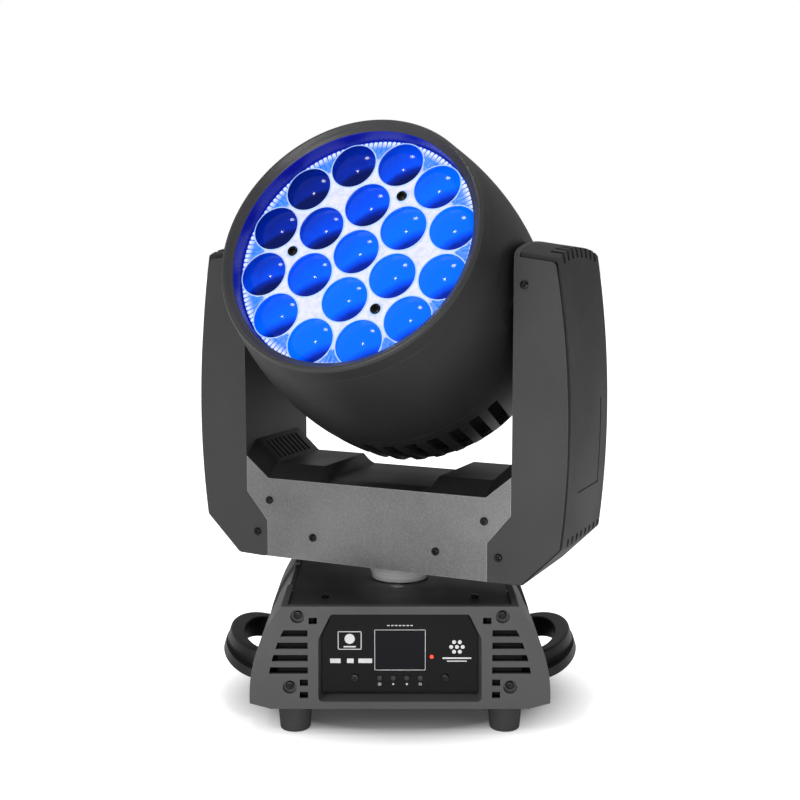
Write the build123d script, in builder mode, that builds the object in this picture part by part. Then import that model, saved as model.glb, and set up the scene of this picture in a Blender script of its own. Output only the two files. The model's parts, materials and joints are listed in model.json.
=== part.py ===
# Moving head wash light: a base with a control panel, a yoke that pans on it
# and a round head that tilts in the yoke, with nineteen lenses that zoom.
# Millimetres, +Z up, the front faces -Y, origin on the floor under the pan axis.
# The yoke is drawn square to the base and the head pointing straight up with the
# tilt axis at its origin; both are turned to their rest pose at the end.
import os
from math import cos, pi, radians, sin, sqrt, tan

from build123d import *

os.makedirs("parts", exist_ok=True)

# ---- driving dimensions -------------------------------------------------------
rest_pan = -25.0            # yoke's turn about +Z at rest, degrees
rest_tilt = 29.0            # head's rise above level at rest, degrees
gap = 0.3                   # between neighbouring pieces
slip = 0.05                 # radial clearance of a shaft in its bearing
touch = 0.1                 # between pieces screwed face to face
wall = 3.0                  # moulded covers

base_half_width = 135.0     # at the heel, where the base is widest
base_half_depth = 115.0
base_shoulder = 106.0       # half width at the top
base_sole = 116.0           # half width of the flat underside
base_height = 94.5          # feet not counted
base_heel = 5.1             # rise of the heel over the underside
base_belly = 8.5            # bow of the sides
bezel_depth = 73.0          # how far a bezel wraps round the side
side_inset = 2.5            # side covers sit back from the bezels
lip = 3.0                   # bezel lip over the top plate
lip_depth = 7.0             # from the bezel's face back to the top plate

foot_height = 25.5
foot_radius = 15.8
foot_taper = 2.1
foot_bore = 5.0             # recess for each foot's screw
foot_x = 95.8
foot_y = 93.0

panel_depth = 14.0          # recess in front of the control panel
panel_draft = 8.0           # degrees
panel_thick = 3.0
display_width = 43.9
display_height = 35.7
display_z = 75.6
button_radius = 2.5
button_pitch = 12.3
button_z = 49.6
button_proud = 1.2
led_x = 28.7
led_z = 69.2
led_radius = 1.6

vent_height = 6.0
vent_pitch = 11.4
vent_inner = 82.5
vent_margin = 16.0          # from a slot's outer end to the base's outline
vent_top_z = 95.4           # middle of the highest long slot
screw_well = 6.4            # radius of the sunk screws' wells
upper_screw_drop = (14.5, 9.0)     # in from the shoulder, down from the top
lower_screw_rise = (36.1, 20.4)    # in from the heel, up from the underside
top_screw = (69.0, 73.0)
bracket_spacing = (106.0, 140.0)   # clamp bracket's bolts in the underside
bracket_hole = 4.25
cord_eye = 5.5                     # hole for the safety cord's eye

handle_reach = 36.5         # of the upper tier out of the side
handle_half_length = 62.0
handle_bar = 15.0
handle_z = 48.0
handle_upper = 13.0
handle_lower = 8.0
handle_flare = 0.8          # lower tier's extra reach
handle_tilt = 18.0          # degrees, so that it stands square to the sloping side

yoke_half_width = 187.0
yoke_half_depth = 60.0
yoke_lift = 19.2            # crossbar's underside over the base
yoke_height = 290.8
arm_inner = 136.4
arm_sheet = 3.0
arch_rise = 12.4            # crest of the arms' arched tops over their front edges
cover_proud = 1.5           # side covers stand out of the front plates
cover_step = 2.0            # side covers' edge from the arm's inner wall
arm_vent_count = 8
arm_vent_pitch = 13.0
arm_vent = 5.0
arm_heel = 146.0            # where the arm's underside starts to rise
arm_knee_inset = 6.0        # of the bowed outer side's lower and upper ends
arm_crown_inset = 13.2
arm_knee_rise = 35.8        # over the crossbar's underside, as are the next six
crossbar_kink_rise = 35.3
arm_kink_rise = 62.1
crossbar_rise = 76.7
wing_rise = 96.9            # crossbar's plate where it meets the arm
louvre_rise = 110.8
tilt_rise = 248.4
crossbar_half = 114.2
wing_x = 112.1
platform_inner = 60.0
platform_depth = 42.0
louvre_count = 8
louvre_half = 32.0
louvre_width = 18.0
sweep_gap = 1.4             # between the tilting rim and the crossbar's cover
cover_sheet = 2.5
plate = 2.0                 # sheet metal of the crossbar
frame_sheet = 4.0           # folded yoke frame
frame_half_depth = 50.0

tilt_y = -9.0               # tilt axis, forward of the pan axis
shaft_radius = 12.0
head_flat = 131.0           # half width across the head's flats

hub_neck = 27.5
hub_flange = 42.0
hub_journal = 20.0
hub_bore = 12.0
bearing_wall = 10.0         # pan bearing's rings
bearing_height = 12.0
collar_wall = 4.0           # top plate's collar round the bearing
collar_depth = 19.0
pan_gear_radius = 36.0
pan_pinion_radius = 9.0
tilt_gear_radius = 34.0
tilt_pinion_radius = 8.5
belt_width = 8.0
belt_thick = 1.5

crown_radius = 139.0        # head's largest radius, at the tilt axis
crown_arc = 422.7           # radius of the shell's long curve
rim_front = 115.7           # from the tilt axis to the rim's front edge
rim_radius = 122.75
rim_depth = 15.7
mouth_radius = 114.2
mouth_sink = 6.3            # opening's edge behind the rim's edge
seam_s = -15.5              # joint between the front and the rear shell
cheek_s = -85.0             # where the rear shell turns in
tail_s = -125.0
tail_radius = 109.0
rib_count = 40
slot_width = 12.0
slot_free = 38.0            # degrees each side of the tilt axis without slots
shell_wall = 3.0
rear_wall = 5.0
grille_rings = 4
grille_pitch = 20.0
grille_slot = 8.0
grille_arc = 48.0           # degrees of each slot

lens_radius = 21.8
lens_ring = (0.0, 47.0, 91.0)
lens_plate_s = 91.0
lens_plate_thick = 3.0
lens_dome = 6.5
post_ring = 64.2            # the three carriage posts
post_radius = 4.0
screw_radius = 3.0          # zoom lead screw
zoom_in = 20.0              # carriage's travel towards the LED board
nut_roof = 8.0              # solid end of the driven post over the screw's bore
board_s = 48.0
sink_radius = 105.0
sink_base = 8.0
fin_depth = 52.0
fan_half = 60.0
fan_s = -50.0
fan_depth = 25.0

# ---- worked out ---------------------------------------------------------------
base_bottom = foot_height
base_top = base_bottom + base_height
panel_y = base_half_depth - panel_depth
plate_top = base_top - lip
top_plate_half = base_shoulder - side_inset - wall
side_half = base_half_depth - bezel_depth
upper_screw = (base_shoulder - upper_screw_drop[0], base_top - upper_screw_drop[1])
lower_screw = (base_half_width - lower_screw_rise[0], base_bottom + lower_screw_rise[1])
yoke_bottom = base_top + yoke_lift
arm_top = yoke_bottom + yoke_height
crossbar_kink_z = yoke_bottom + crossbar_kink_rise
arm_kink_z = yoke_bottom + arm_kink_rise
crossbar_top = yoke_bottom + crossbar_rise
crossbar_wing = yoke_bottom + wing_rise
louvre_top = yoke_bottom + louvre_rise
tilt_z = yoke_bottom + tilt_rise
arm_knee = (yoke_half_width - arm_knee_inset, yoke_bottom + arm_knee_rise)
arm_crown = (yoke_half_width - arm_crown_inset, arm_top - 5.3)
crossbar_screws = ((crossbar_half - 3.3, crossbar_kink_z + 20.0), (63.7, yoke_bottom + 22.8))
arm_screws = ((arm_inner + 9.8, arm_top - 24.5), (crossbar_half + 10.5, yoke_bottom + 23.3))
rim_sweep = sqrt(rim_front ** 2 + rim_radius ** 2)
trough_z = tilt_z - rim_sweep - sweep_gap
platform_z = tilt_z - sqrt(rim_sweep ** 2 - platform_inner ** 2) - sweep_gap
screw_head = 3.7
screw_head_height = 2.0
screw_shank = 2.0
pan_motor_x = pan_gear_radius + pan_pinion_radius + 25.0
pan_gear_z = plate_top - 33.0
tilt_motor_drop = 110.0
lens_spots = [(0.0, 0.0)]
lens_spots += [(lens_ring[1] * cos(radians(30 + 60 * k)), lens_ring[1] * sin(radians(30 + 60 * k)))
               for k in range(6)]
lens_spots += [(lens_ring[2] * cos(radians(15 + 30 * k)), lens_ring[2] * sin(radians(15 + 30 * k)))
               for k in range(12)]
post_angles = (60, 180, 300)
base_pieces = []
yoke_pieces = []
head_pieces = []


def keep(piece, name, body):
    piece.part.label = name
    body.append(piece)


# ---- shared outlines ----------------------------------------------------------
def base_side_x(z):
    """Half width of the base at height z, on the bowed side."""
    x1, z1 = base_half_width, base_bottom + base_heel
    x2, z2 = base_shoulder, base_top
    chord = sqrt((x2 - x1) ** 2 + (z2 - z1) ** 2)
    radius = (chord ** 2 / 4 + base_belly ** 2) / (2 * base_belly)
    out_x, out_z = (z2 - z1) / chord, (x1 - x2) / chord
    cx = (x1 + x2) / 2 - (radius - base_belly) * out_x
    cz = (z1 + z2) / 2 - (radius - base_belly) * out_z
    return cx + sqrt(radius ** 2 - (z - cz) ** 2)


def base_profile(inset=0.0):
    """The base seen from the front."""
    middle_z = (base_bottom + base_heel + base_top) / 2
    with BuildSketch() as outline:
        with BuildLine():
            Polyline((0, base_bottom), (base_sole, base_bottom), (base_half_width, base_bottom + base_heel))
            ThreePointArc((base_half_width, base_bottom + base_heel), (base_side_x(middle_z), middle_z),
                          (base_shoulder, base_top))
            Line((base_shoulder, base_top), (0, base_top))
            mirror(about=Plane.YZ)
        make_face()
        if inset:
            offset(amount=-inset, kind=Kind.INTERSECTION, mode=Mode.REPLACE)
    return outline.sketch


def recess_profile(inset=0.0):
    """Opening round the control panel."""
    top_z = base_bottom + base_height * 0.924
    with BuildSketch() as opening:
        with BuildLine():
            Polyline((0, base_bottom + 6.6), (73.4, base_bottom + 6.6), (73.0, base_bottom + 64.5),
                     (62.0, top_z), (0, top_z))
            mirror(about=Plane.YZ)
        make_face()
        fillet(opening.vertices().filter_by(lambda v: abs(v.X) > 1), 4.0)
        if inset:
            offset(amount=-inset, mode=Mode.REPLACE)
    return opening.sketch


def arm_profile(rise=0.0):
    """The right arm seen from the front, its top raised by rise."""
    crown_z = arm_crown[1] + rise
    with BuildSketch() as outline:
        with BuildLine():
            Polyline((arm_crown[0], crown_z), (arm_inner, arm_top + rise), (arm_inner, arm_kink_z),
                     (crossbar_half, crossbar_kink_z), (crossbar_half, yoke_bottom),
                     (arm_heel, yoke_bottom + 1.1), arm_knee)
            ThreePointArc(arm_knee, (yoke_half_width, (arm_knee[1] + arm_crown[1]) / 2),
                          (arm_crown[0], crown_z))
        make_face()
        fillet(outline.vertices().filter_by(lambda v: v.X > arm_heel + 5), 5.0)
    return outline.sketch


def arch(inset=0.0):
    """Everything under the arms' arched top, seen from the side."""
    slope = Plane(origin=(arm_inner, 0, arm_top), x_dir=(0, 1, 0),
                  z_dir=(arm_crown[0] - arm_inner, 0, arm_crown[1] - arm_top))
    with BuildPart() as under:
        with BuildSketch(slope):
            Ellipse(yoke_half_depth - 1.3 * inset, arch_rise - inset)
            Rectangle(3 * yoke_half_depth, 2 * yoke_height, align=(Align.CENTER, Align.MAX))
        extrude(amount=yoke_half_width, both=True)
    return under.part


def arm_hollow(shift):
    """Everything outward of the arm's inner wall."""
    with BuildSketch() as region:
        with BuildLine():
            Polyline((crossbar_half + shift, yoke_bottom - 40), (crossbar_half + shift, crossbar_kink_z),
                     (arm_inner + shift, arm_kink_z), (arm_inner + shift, arm_top + 40),
                     (yoke_half_width + 40, arm_top + 40), (yoke_half_width + 40, yoke_bottom - 40),
                     close=True)
        make_face()
    return region.sketch


def crossbar_outline():
    """Front plate of the crossbar between the two arms."""
    with BuildSketch() as outline:
        with BuildLine():
            Polyline((0, yoke_bottom), (crossbar_half - gap, yoke_bottom),
                     (crossbar_half - gap, crossbar_kink_z), (arm_inner - gap, arm_kink_z),
                     (arm_inner - gap, crossbar_wing), (wing_x, crossbar_top), (0, crossbar_top))
            mirror(about=Plane.YZ)
        make_face()
    return outline.sketch


def crown(s):
    """Outer radius of the head's shell at distance s along the optical axis."""
    return crown_radius - (crown_arc - sqrt(crown_arc ** 2 - s ** 2))


def screw_solid(length):
    """Pan head screw, head up, its shank going down from the origin."""
    Cylinder(screw_head, screw_head_height, align=(Align.CENTER, Align.CENTER, Align.MIN))
    with Locations((0, 0, screw_head_height)):
        Cylinder(screw_head * 0.45, 1.0, align=(Align.CENTER, Align.CENTER, Align.MAX), mode=Mode.SUBTRACT)
    Cylinder(screw_shank, length, align=(Align.CENTER, Align.CENTER, Align.MAX))


with BuildPart() as screw:
    screw_solid(6.0)


def toothed_wheel(radius, width, bore, teeth):
    """Belt pulley on the plane of the part that is open."""
    Cylinder(radius, width, align=(Align.CENTER, Align.CENTER, Align.MIN))
    with PolarLocations(radius, teeth):
        Box(1.6, pi * radius / teeth, 2 * width, mode=Mode.SUBTRACT)
    Cylinder(bore, 2 * width, mode=Mode.SUBTRACT)


# ---- base ---------------------------------------------------------------------
with BuildPart() as bottom_plate:
    with BuildSketch(Plane.XY.offset(base_bottom)):
        RectangleRounded(2 * (base_sole - wall - gap) - 2, 2 * (base_half_depth - wall - gap), 6)
        with GridLocations(*bracket_spacing, 2, 2):
            Circle(bracket_hole, mode=Mode.SUBTRACT)
        with GridLocations(2 * foot_x, 2 * foot_y, 2, 2):
            Circle(screw_shank + gap, mode=Mode.SUBTRACT)
        Circle(cord_eye, mode=Mode.SUBTRACT)
    extrude(amount=wall)
keep(bottom_plate, "bottom_plate", base_pieces)

with BuildPart() as feet:
    with GridLocations(2 * foot_x, 2 * foot_y, 2, 2):
        Cone(foot_radius - foot_taper, foot_radius, foot_height,
             align=(Align.CENTER, Align.CENTER, Align.MIN))
        Cylinder(screw_shank + gap, 2 * foot_height, mode=Mode.SUBTRACT)
        Cylinder(foot_bore, 16.0, mode=Mode.SUBTRACT)
    rims = feet.edges().filter_by(GeomType.CIRCLE).group_by(Axis.Z)[0]
    fillet(rims.filter_by(lambda e: e.radius > foot_bore + 1), 2.5)
keep(feet, "feet", base_pieces)


def bezel_shell(sign):
    """One bezel with its wells and vents; sign -1 is the front one, +1 the rear one."""
    face = Plane.XZ.offset(-sign * base_half_depth)
    reach = bezel_depth - lip_depth + 10
    middle = sign * (base_half_depth - lip_depth - reach / 2)
    wells = [(side * x, z) for x, z in (upper_screw, lower_screw) for side in (-1, 1)]
    with BuildPart() as shell:
        with BuildSketch(face):
            add(base_profile())
        extrude(amount=sign * bezel_depth)
        with BuildSketch(Plane.XZ.offset(-sign * (base_half_depth - wall))):
            add(base_profile(wall))
        extrude(amount=sign * bezel_depth, mode=Mode.SUBTRACT)
        with Locations((0, middle, base_top)):
            Box(2 * (top_plate_half + gap), reach, 2 * (lip + wall), mode=Mode.SUBTRACT)
        with Locations((0, sign * (base_half_depth - wall - reach / 2), base_bottom)):
            Box(2 * (base_sole - wall), reach, 2 * (wall + gap), mode=Mode.SUBTRACT)
        with BuildSketch(face):
            with Locations(*wells):
                Circle(screw_well + 1.8)
        extrude(amount=sign * (lip_depth - gap))
        with BuildSketch(face):
            add(base_profile())
        extrude(amount=sign * bezel_depth, mode=Mode.INTERSECT)
        with BuildSketch(face):
            with Locations(*wells):
                Circle(screw_well)
        extrude(amount=sign * 5.5, mode=Mode.SUBTRACT)
        with BuildSketch(face):
            with Locations(*wells):
                Circle(screw_shank + 0.1)
        extrude(amount=sign * 12.0, mode=Mode.SUBTRACT)
        for k in range(-1, 6):
            z = vent_top_z - k * vent_pitch
            low, high = z - vent_height / 2, z + vent_height / 2
            inner = vent_inner
            if k < 0:
                inner = vent_inner - 8.5
                outer_low = outer_high = vent_inner - 1
            elif high < lower_screw[1] + screw_well + 8:
                outer_low = outer_high = lower_screw[0] - screw_well - 2.5
            else:
                outer_low = base_side_x(low) - vent_margin
                outer_high = base_side_x(high) - vent_margin
            for side in (-1, 1):
                with BuildSketch(face):
                    with BuildLine():
                        Polyline((side * inner, low), (side * outer_low, low), (side * outer_high, high),
                                 (side * inner, high), close=True)
                    make_face()
                extrude(amount=sign * 2 * wall, mode=Mode.SUBTRACT)
    return shell.part


with BuildPart() as front_bezel:
    add(bezel_shell(-1))
    with BuildSketch(Plane.XZ.offset(base_half_depth)):
        add(recess_profile(-4.0))
    extrude(amount=-(panel_depth + panel_thick))
    with BuildSketch(Plane.XZ.offset(base_half_depth)):
        add(recess_profile())
    extrude(amount=-(panel_depth + panel_thick), taper=panel_draft, mode=Mode.SUBTRACT)
    with BuildSketch(Plane.XZ.offset(base_half_depth)):
        add(base_profile())
    extrude(amount=-bezel_depth, mode=Mode.INTERSECT)
    with Locations((0, -(base_half_depth - lip_depth), plate_top - wall - gap)):
        Box(2 * (top_plate_half + gap), bezel_depth, 2 * wall, align=(Align.CENTER, Align.MIN, Align.MIN),
            mode=Mode.SUBTRACT)
    with Locations((0, -(base_half_depth - wall), base_bottom + wall + gap)):
        Box(2 * (base_sole - wall), bezel_depth, 2 * wall, align=(Align.CENTER, Align.MIN, Align.MAX),
            mode=Mode.SUBTRACT)
keep(front_bezel, "front_bezel", base_pieces)

panel_inset = (panel_depth + panel_thick) * tan(radians(panel_draft)) + gap
connector_low = base_bottom + 12.0
connector_high = base_bottom + 80.0
with BuildPart() as rear_bezel:
    add(bezel_shell(1))
    with BuildSketch(Plane.XZ.offset(-base_half_depth - 1)):
        with Locations((0, (connector_low + connector_high) / 2)):
            RectangleRounded(2 * 70.0, connector_high - connector_low, 5)
    extrude(amount=wall + 3, mode=Mode.SUBTRACT)
keep(rear_bezel, "rear_bezel", base_pieces)

for side, name in ((-1, "side_cover_left"), (1, "side_cover_right")):
    with BuildPart() as side_cover:
        with BuildSketch(Plane.XZ.offset(side_half - gap)):
            add(base_profile(side_inset))
        extrude(amount=-2 * (side_half - gap))
        with BuildSketch(Plane.XZ.offset(side_half + 1)):
            add(base_profile(side_inset + wall))
        extrude(amount=-2 * (side_half + 1), mode=Mode.SUBTRACT)
        with Locations((0, 0, base_top)):
            Box(2 * (top_plate_half + gap), 4 * side_half, 2 * (lip + wall + 2), mode=Mode.SUBTRACT)
        with Locations((0, 0, base_bottom)):
            Box(2 * (base_sole - wall), 4 * side_half, 2 * (wall + side_inset + 1), mode=Mode.SUBTRACT)
        with Locations((-side * base_half_width, 0, base_bottom)):
            Box(2 * base_half_width, 4 * side_half, 4 * base_height, mode=Mode.SUBTRACT)
    keep(side_cover, name, base_pieces)

handle_root = base_side_x(handle_z + handle_upper / 2)
for side, name in ((-1, "handle_left"), (1, "handle_right")):
    with BuildPart() as handle:
        tilt = radians(handle_tilt)
        tiers = ((0.0, handle_upper, 0.0, 0.0), (-handle_lower, handle_lower, handle_flare, 14.0))
        for low, tall, flare, longer in tiers:
            floor = Plane(origin=(side * (handle_root - low * sin(tilt)), 0, handle_z + low * cos(tilt)),
                          x_dir=(side * cos(tilt), 0, sin(tilt)), z_dir=(-side * sin(tilt), 0, cos(tilt)))
            with BuildSketch(floor):
                Ellipse(handle_reach + flare, handle_half_length + longer)
                Ellipse(handle_reach - handle_bar, handle_half_length - handle_bar, mode=Mode.SUBTRACT)
            extrude(amount=tall)
        with BuildSketch(Plane.XZ.offset(base_half_depth)):
            add(base_profile(-touch))
        extrude(amount=-2 * base_half_depth, mode=Mode.SUBTRACT)
        with Locations((0, 0, handle_z)):
            Box(2 * base_shoulder, 4 * base_half_depth, 4 * base_height, mode=Mode.SUBTRACT)
        upward = Axis((0, 0, 0), (-side * sin(tilt), 0, cos(tilt)))
        fillet(handle.edges().filter_by(GeomType.ELLIPSE).group_by(upward)[-1], 2.5)
    keep(handle, name, base_pieces)

bearing_radius = hub_journal + bearing_wall
with BuildPart() as top_plate:
    with BuildSketch(Plane.XY.offset(plate_top - wall)):
        Rectangle(2 * top_plate_half, 2 * (base_half_depth - lip_depth - gap))
    extrude(amount=wall)
    with Locations((0, 0, plate_top)):
        Cylinder(bearing_radius + collar_wall, collar_depth, align=(Align.CENTER, Align.CENTER, Align.MAX))
        Cylinder(hub_journal + 1.0, 80, mode=Mode.SUBTRACT)
    with Locations((0, 0, plate_top - wall)):
        Cylinder(bearing_radius, 60, align=(Align.CENTER, Align.CENTER, Align.MAX), mode=Mode.SUBTRACT)
    with Locations((0, 0, plate_top)):
        with GridLocations(2 * top_screw[0], 2 * top_screw[1], 2, 2):
            Cylinder(screw_shank + 0.1, 20, mode=Mode.SUBTRACT)
keep(top_plate, "top_plate", base_pieces)

with BuildPart() as pan_bearing:
    with Locations((0, 0, plate_top - wall - gap)):
        Cylinder(bearing_radius - slip, bearing_height, align=(Align.CENTER, Align.CENTER, Align.MAX))
        Cylinder(hub_journal + slip, 60, mode=Mode.SUBTRACT)
keep(pan_bearing, "pan_bearing", base_pieces)

with BuildPart() as control_panel:
    with BuildSketch(Plane.XZ.offset(panel_y)):
        add(recess_profile(panel_inset))
        with Locations((0, display_z)):
            Rectangle(display_width + gap, display_height + gap, mode=Mode.SUBTRACT)
        with Locations((led_x, led_z)):
            Circle(led_radius + 0.1, mode=Mode.SUBTRACT)
        with Locations((0, button_z)):
            with GridLocations(button_pitch, 1, 4, 1):
                Circle(button_radius + gap, mode=Mode.SUBTRACT)
        for side in (-1, 1):
            with Locations((side * 41.0, button_z)):
                Circle(screw_shank + 0.1, mode=Mode.SUBTRACT)
    extrude(amount=-panel_thick)
keep(control_panel, "control_panel", base_pieces)

with BuildPart() as display_screen:
    with BuildSketch(Plane.XZ.offset(panel_y + 0.4)):
        with Locations((0, display_z)):
            Rectangle(display_width, display_height)
    extrude(amount=-(panel_thick + 0.4))
keep(display_screen, "display_screen", base_pieces)

with BuildPart() as status_led:
    with BuildSketch(Plane.XZ.offset(panel_y + 0.6)):
        with Locations((led_x, led_z)):
            Circle(led_radius)
    extrude(amount=-(panel_thick + 0.6))
    fillet(status_led.edges().group_by(Axis.Y)[0], 0.6)
keep(status_led, "status_led", base_pieces)

for number in range(4):
    with BuildPart() as button:
        spot = ((number - 1.5) * button_pitch, button_z)
        with BuildSketch(Plane.XZ.offset(panel_y + button_proud)):
            with Locations(spot):
                Circle(button_radius)
        extrude(amount=-(button_proud + panel_thick + gap))
        with BuildSketch(Plane.XZ.offset(panel_y - panel_thick - gap)):
            with Locations(spot):
                Circle(button_radius + 1.0)
        extrude(amount=-1.2)
        fillet(button.edges().group_by(Axis.Y)[0], 0.5)
    keep(button, f"button_{number + 1}", base_pieces)

board_y = panel_y - panel_thick - 6.0
with BuildPart() as main_board:
    with BuildSketch(Plane.XZ.offset(board_y)):
        with Locations((0, base_bottom + 42)):
            Rectangle(116, 62)
    extrude(amount=-1.6)
    with BuildSketch(Plane.XZ.offset(board_y - 1.6)):
        with Locations((0, base_bottom + 42)):
            with GridLocations(30, 28, 3, 2):
                Rectangle(16, 14)
    extrude(amount=-4)
keep(main_board, "main_board", base_pieces)

with BuildPart() as power_supply:
    with Locations((-70, 18, base_bottom + wall)):
        Box(58, 130, 44, align=(Align.CENTER, Align.CENTER, Align.MIN))
    fillet(power_supply.edges().filter_by(Axis.Z), 2)
keep(power_supply, "power_supply", base_pieces)

motor_top = pan_gear_z - 4.0
with BuildPart() as pan_motor:
    with Locations((pan_motor_x, 0, motor_top)):
        Box(56, 56, motor_top - base_bottom - wall - 2, align=(Align.CENTER, Align.CENTER, Align.MAX))
    fillet(pan_motor.edges().filter_by(Axis.Z), 5)
keep(pan_motor, "pan_motor", base_pieces)

with BuildPart() as pan_pinion:
    with Locations((pan_motor_x, 0, pan_gear_z)):
        toothed_wheel(pan_pinion_radius, belt_width + 2, 0.5, 18)
    with Locations((pan_motor_x, 0, motor_top + gap)):
        Cylinder(4.0, pan_gear_z - motor_top, align=(Align.CENTER, Align.CENTER, Align.MIN))
keep(pan_pinion, "pan_pinion", base_pieces)

with BuildPart() as pan_belt:
    for grow, mode in ((gap + belt_thick, Mode.ADD), (gap, Mode.SUBTRACT)):
        with BuildSketch(Plane.XY.offset(pan_gear_z + 1)):
            Circle(pan_gear_radius + grow)
            with Locations((pan_motor_x, 0)):
                Circle(pan_pinion_radius + grow)
            make_hull()
        extrude(amount=belt_width, mode=mode)
keep(pan_belt, "pan_belt", base_pieces)

socket_z = (connector_low + connector_high) / 2 - 8
sockets = {"power_sockets": ((-50, 11.0), (-17, 11.0)), "data_sockets": ((18, 9.5), (50, 9.5))}
rear_y = base_half_depth - wall - gap
with BuildPart() as connector_plate:
    with BuildSketch(Plane.XZ.offset(-rear_y)):
        with Locations((0, (connector_low + connector_high) / 2)):
            Rectangle(2 * 78.0, connector_high - connector_low + 10)
        for x, radius in sockets["power_sockets"] + sockets["data_sockets"]:
            with Locations((x, socket_z)):
                Circle(radius + 2.2, mode=Mode.SUBTRACT)
        with Locations((0, connector_high - 10)):
            Circle(6.2, mode=Mode.SUBTRACT)
    extrude(amount=2.0)
keep(connector_plate, "connector_plate", base_pieces)

for name in ("power_sockets", "data_sockets"):
    with BuildPart() as socket:
        for x, radius in sockets[name]:
            with BuildSketch(Plane.XZ.offset(-rear_y - 2.5)):
                with Locations((x, socket_z)):
                    RectangleRounded(2 * radius + 7, 2 * radius + 9, 3)
            extrude(amount=2.5)
            with BuildSketch(Plane.XZ.offset(-rear_y)):
                with Locations((x, socket_z)):
                    Circle(radius + 2.0)
            extrude(amount=20)
            with BuildSketch(Plane.XZ.offset(-rear_y - 2.5)):
                with Locations((x, socket_z)):
                    Circle(radius)
            extrude(amount=16, mode=Mode.SUBTRACT)
    keep(socket, name, base_pieces)

with BuildPart() as fuse_holder:
    with BuildSketch(Plane.XZ.offset(-rear_y - 5)):
        with Locations((0, connector_high - 10)):
            Circle(7.5)
    extrude(amount=5)
    with BuildSketch(Plane.XZ.offset(-rear_y)):
        with Locations((0, connector_high - 10)):
            Circle(6.0)
    extrude(amount=24)
    fillet(fuse_holder.edges().group_by(Axis.Y)[-1], 1.0)
keep(fuse_holder, "fuse_holder", base_pieces)

# front bezel, rear bezel, top plate and control panel are held by one size of screw
with BuildPart() as base_screws:
    for sign in (-1, 1):
        face = base_half_depth - 5.5
        turn = 90 if sign < 0 else -90
        for x, z in (upper_screw, lower_screw):
            for side in (-1, 1):
                add(screw.part.moved(Location((side * x, sign * face, z), (turn, 0, 0))))
        for x in (-top_screw[0], top_screw[0]):
            add(screw.part.moved(Location((x, sign * top_screw[1], plate_top))))
    for x in (-41.0, 41.0):
        add(screw.part.moved(Location((x, -panel_y, button_z), (90, 0, 0))))
keep(base_screws, "base_screws", base_pieces)

# ---- yoke ---------------------------------------------------------------------
with BuildPart() as pan_hub:
    with BuildSketch(Plane.XZ):
        with BuildLine():
            low = plate_top + 0.6
            top = yoke_bottom - 0.02
            Polyline((hub_bore, pan_gear_z - 4), (hub_journal, pan_gear_z - 4), (hub_journal, low),
                     (hub_neck, low))
            ThreePointArc((hub_neck, low), (hub_neck + 4.0, low + (top - low) * 0.52), (hub_flange, top - 3))
            Polyline((hub_flange, top - 3), (hub_flange, top), (hub_bore, top), (hub_bore, pan_gear_z - 4))
        make_face()
    revolve(axis=Axis.Z)
keep(pan_hub, "pan_hub", yoke_pieces)

with BuildPart() as pan_gear:
    with Locations((0, 0, pan_gear_z)):
        toothed_wheel(pan_gear_radius, belt_width + 2, hub_journal + 0.02, 72)
keep(pan_gear, "pan_gear", yoke_pieces)

for side, name in ((-1, "crossbar_front"), (1, "crossbar_rear")):
    with BuildPart() as crossbar_plate:
        with BuildSketch(Plane.XZ.offset(-side * yoke_half_depth)):
            add(crossbar_outline())
            with Locations(*[(way * x, z) for x, z in crossbar_screws for way in (-1, 1)]):
                Circle(screw_shank + 0.1, mode=Mode.SUBTRACT)
        extrude(amount=side * plate)
    keep(crossbar_plate, name, yoke_pieces)

inner_depth = yoke_half_depth - plate - gap
with BuildPart() as crossbar_tray:
    with BuildSketch(Plane.XY.offset(yoke_bottom)):
        Rectangle(2 * (crossbar_half - gap), 2 * inner_depth)
        Circle(hub_bore, mode=Mode.SUBTRACT)
    extrude(amount=plate)
keep(crossbar_tray, "crossbar_tray", yoke_pieces)

frame_z = yoke_bottom + plate + gap
with BuildPart() as yoke_frame:
    foot_half = arm_inner + arm_sheet + gap
    with BuildSketch(Plane.XZ.offset(frame_half_depth)):
        with BuildLine():
            Polyline((0, frame_z), (crossbar_half - 10, frame_z), (foot_half + frame_sheet, arm_kink_z),
                     (foot_half + frame_sheet, arm_top - 20), (foot_half, arm_top - 20),
                     (foot_half, arm_kink_z + 2), (crossbar_half - 12, frame_z + frame_sheet),
                     (0, frame_z + frame_sheet))
            mirror(about=Plane.YZ)
        make_face()
    extrude(amount=-2 * frame_half_depth)
    with Locations((0, 0, frame_z)):
        Cylinder(hub_bore, 20, mode=Mode.SUBTRACT)
    with BuildSketch(Plane.YZ):
        with Locations((tilt_y, tilt_z)):
            Circle(17.05)
    extrude(amount=yoke_half_width, both=True, mode=Mode.SUBTRACT)
keep(yoke_frame, "yoke_frame", yoke_pieces)

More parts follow.
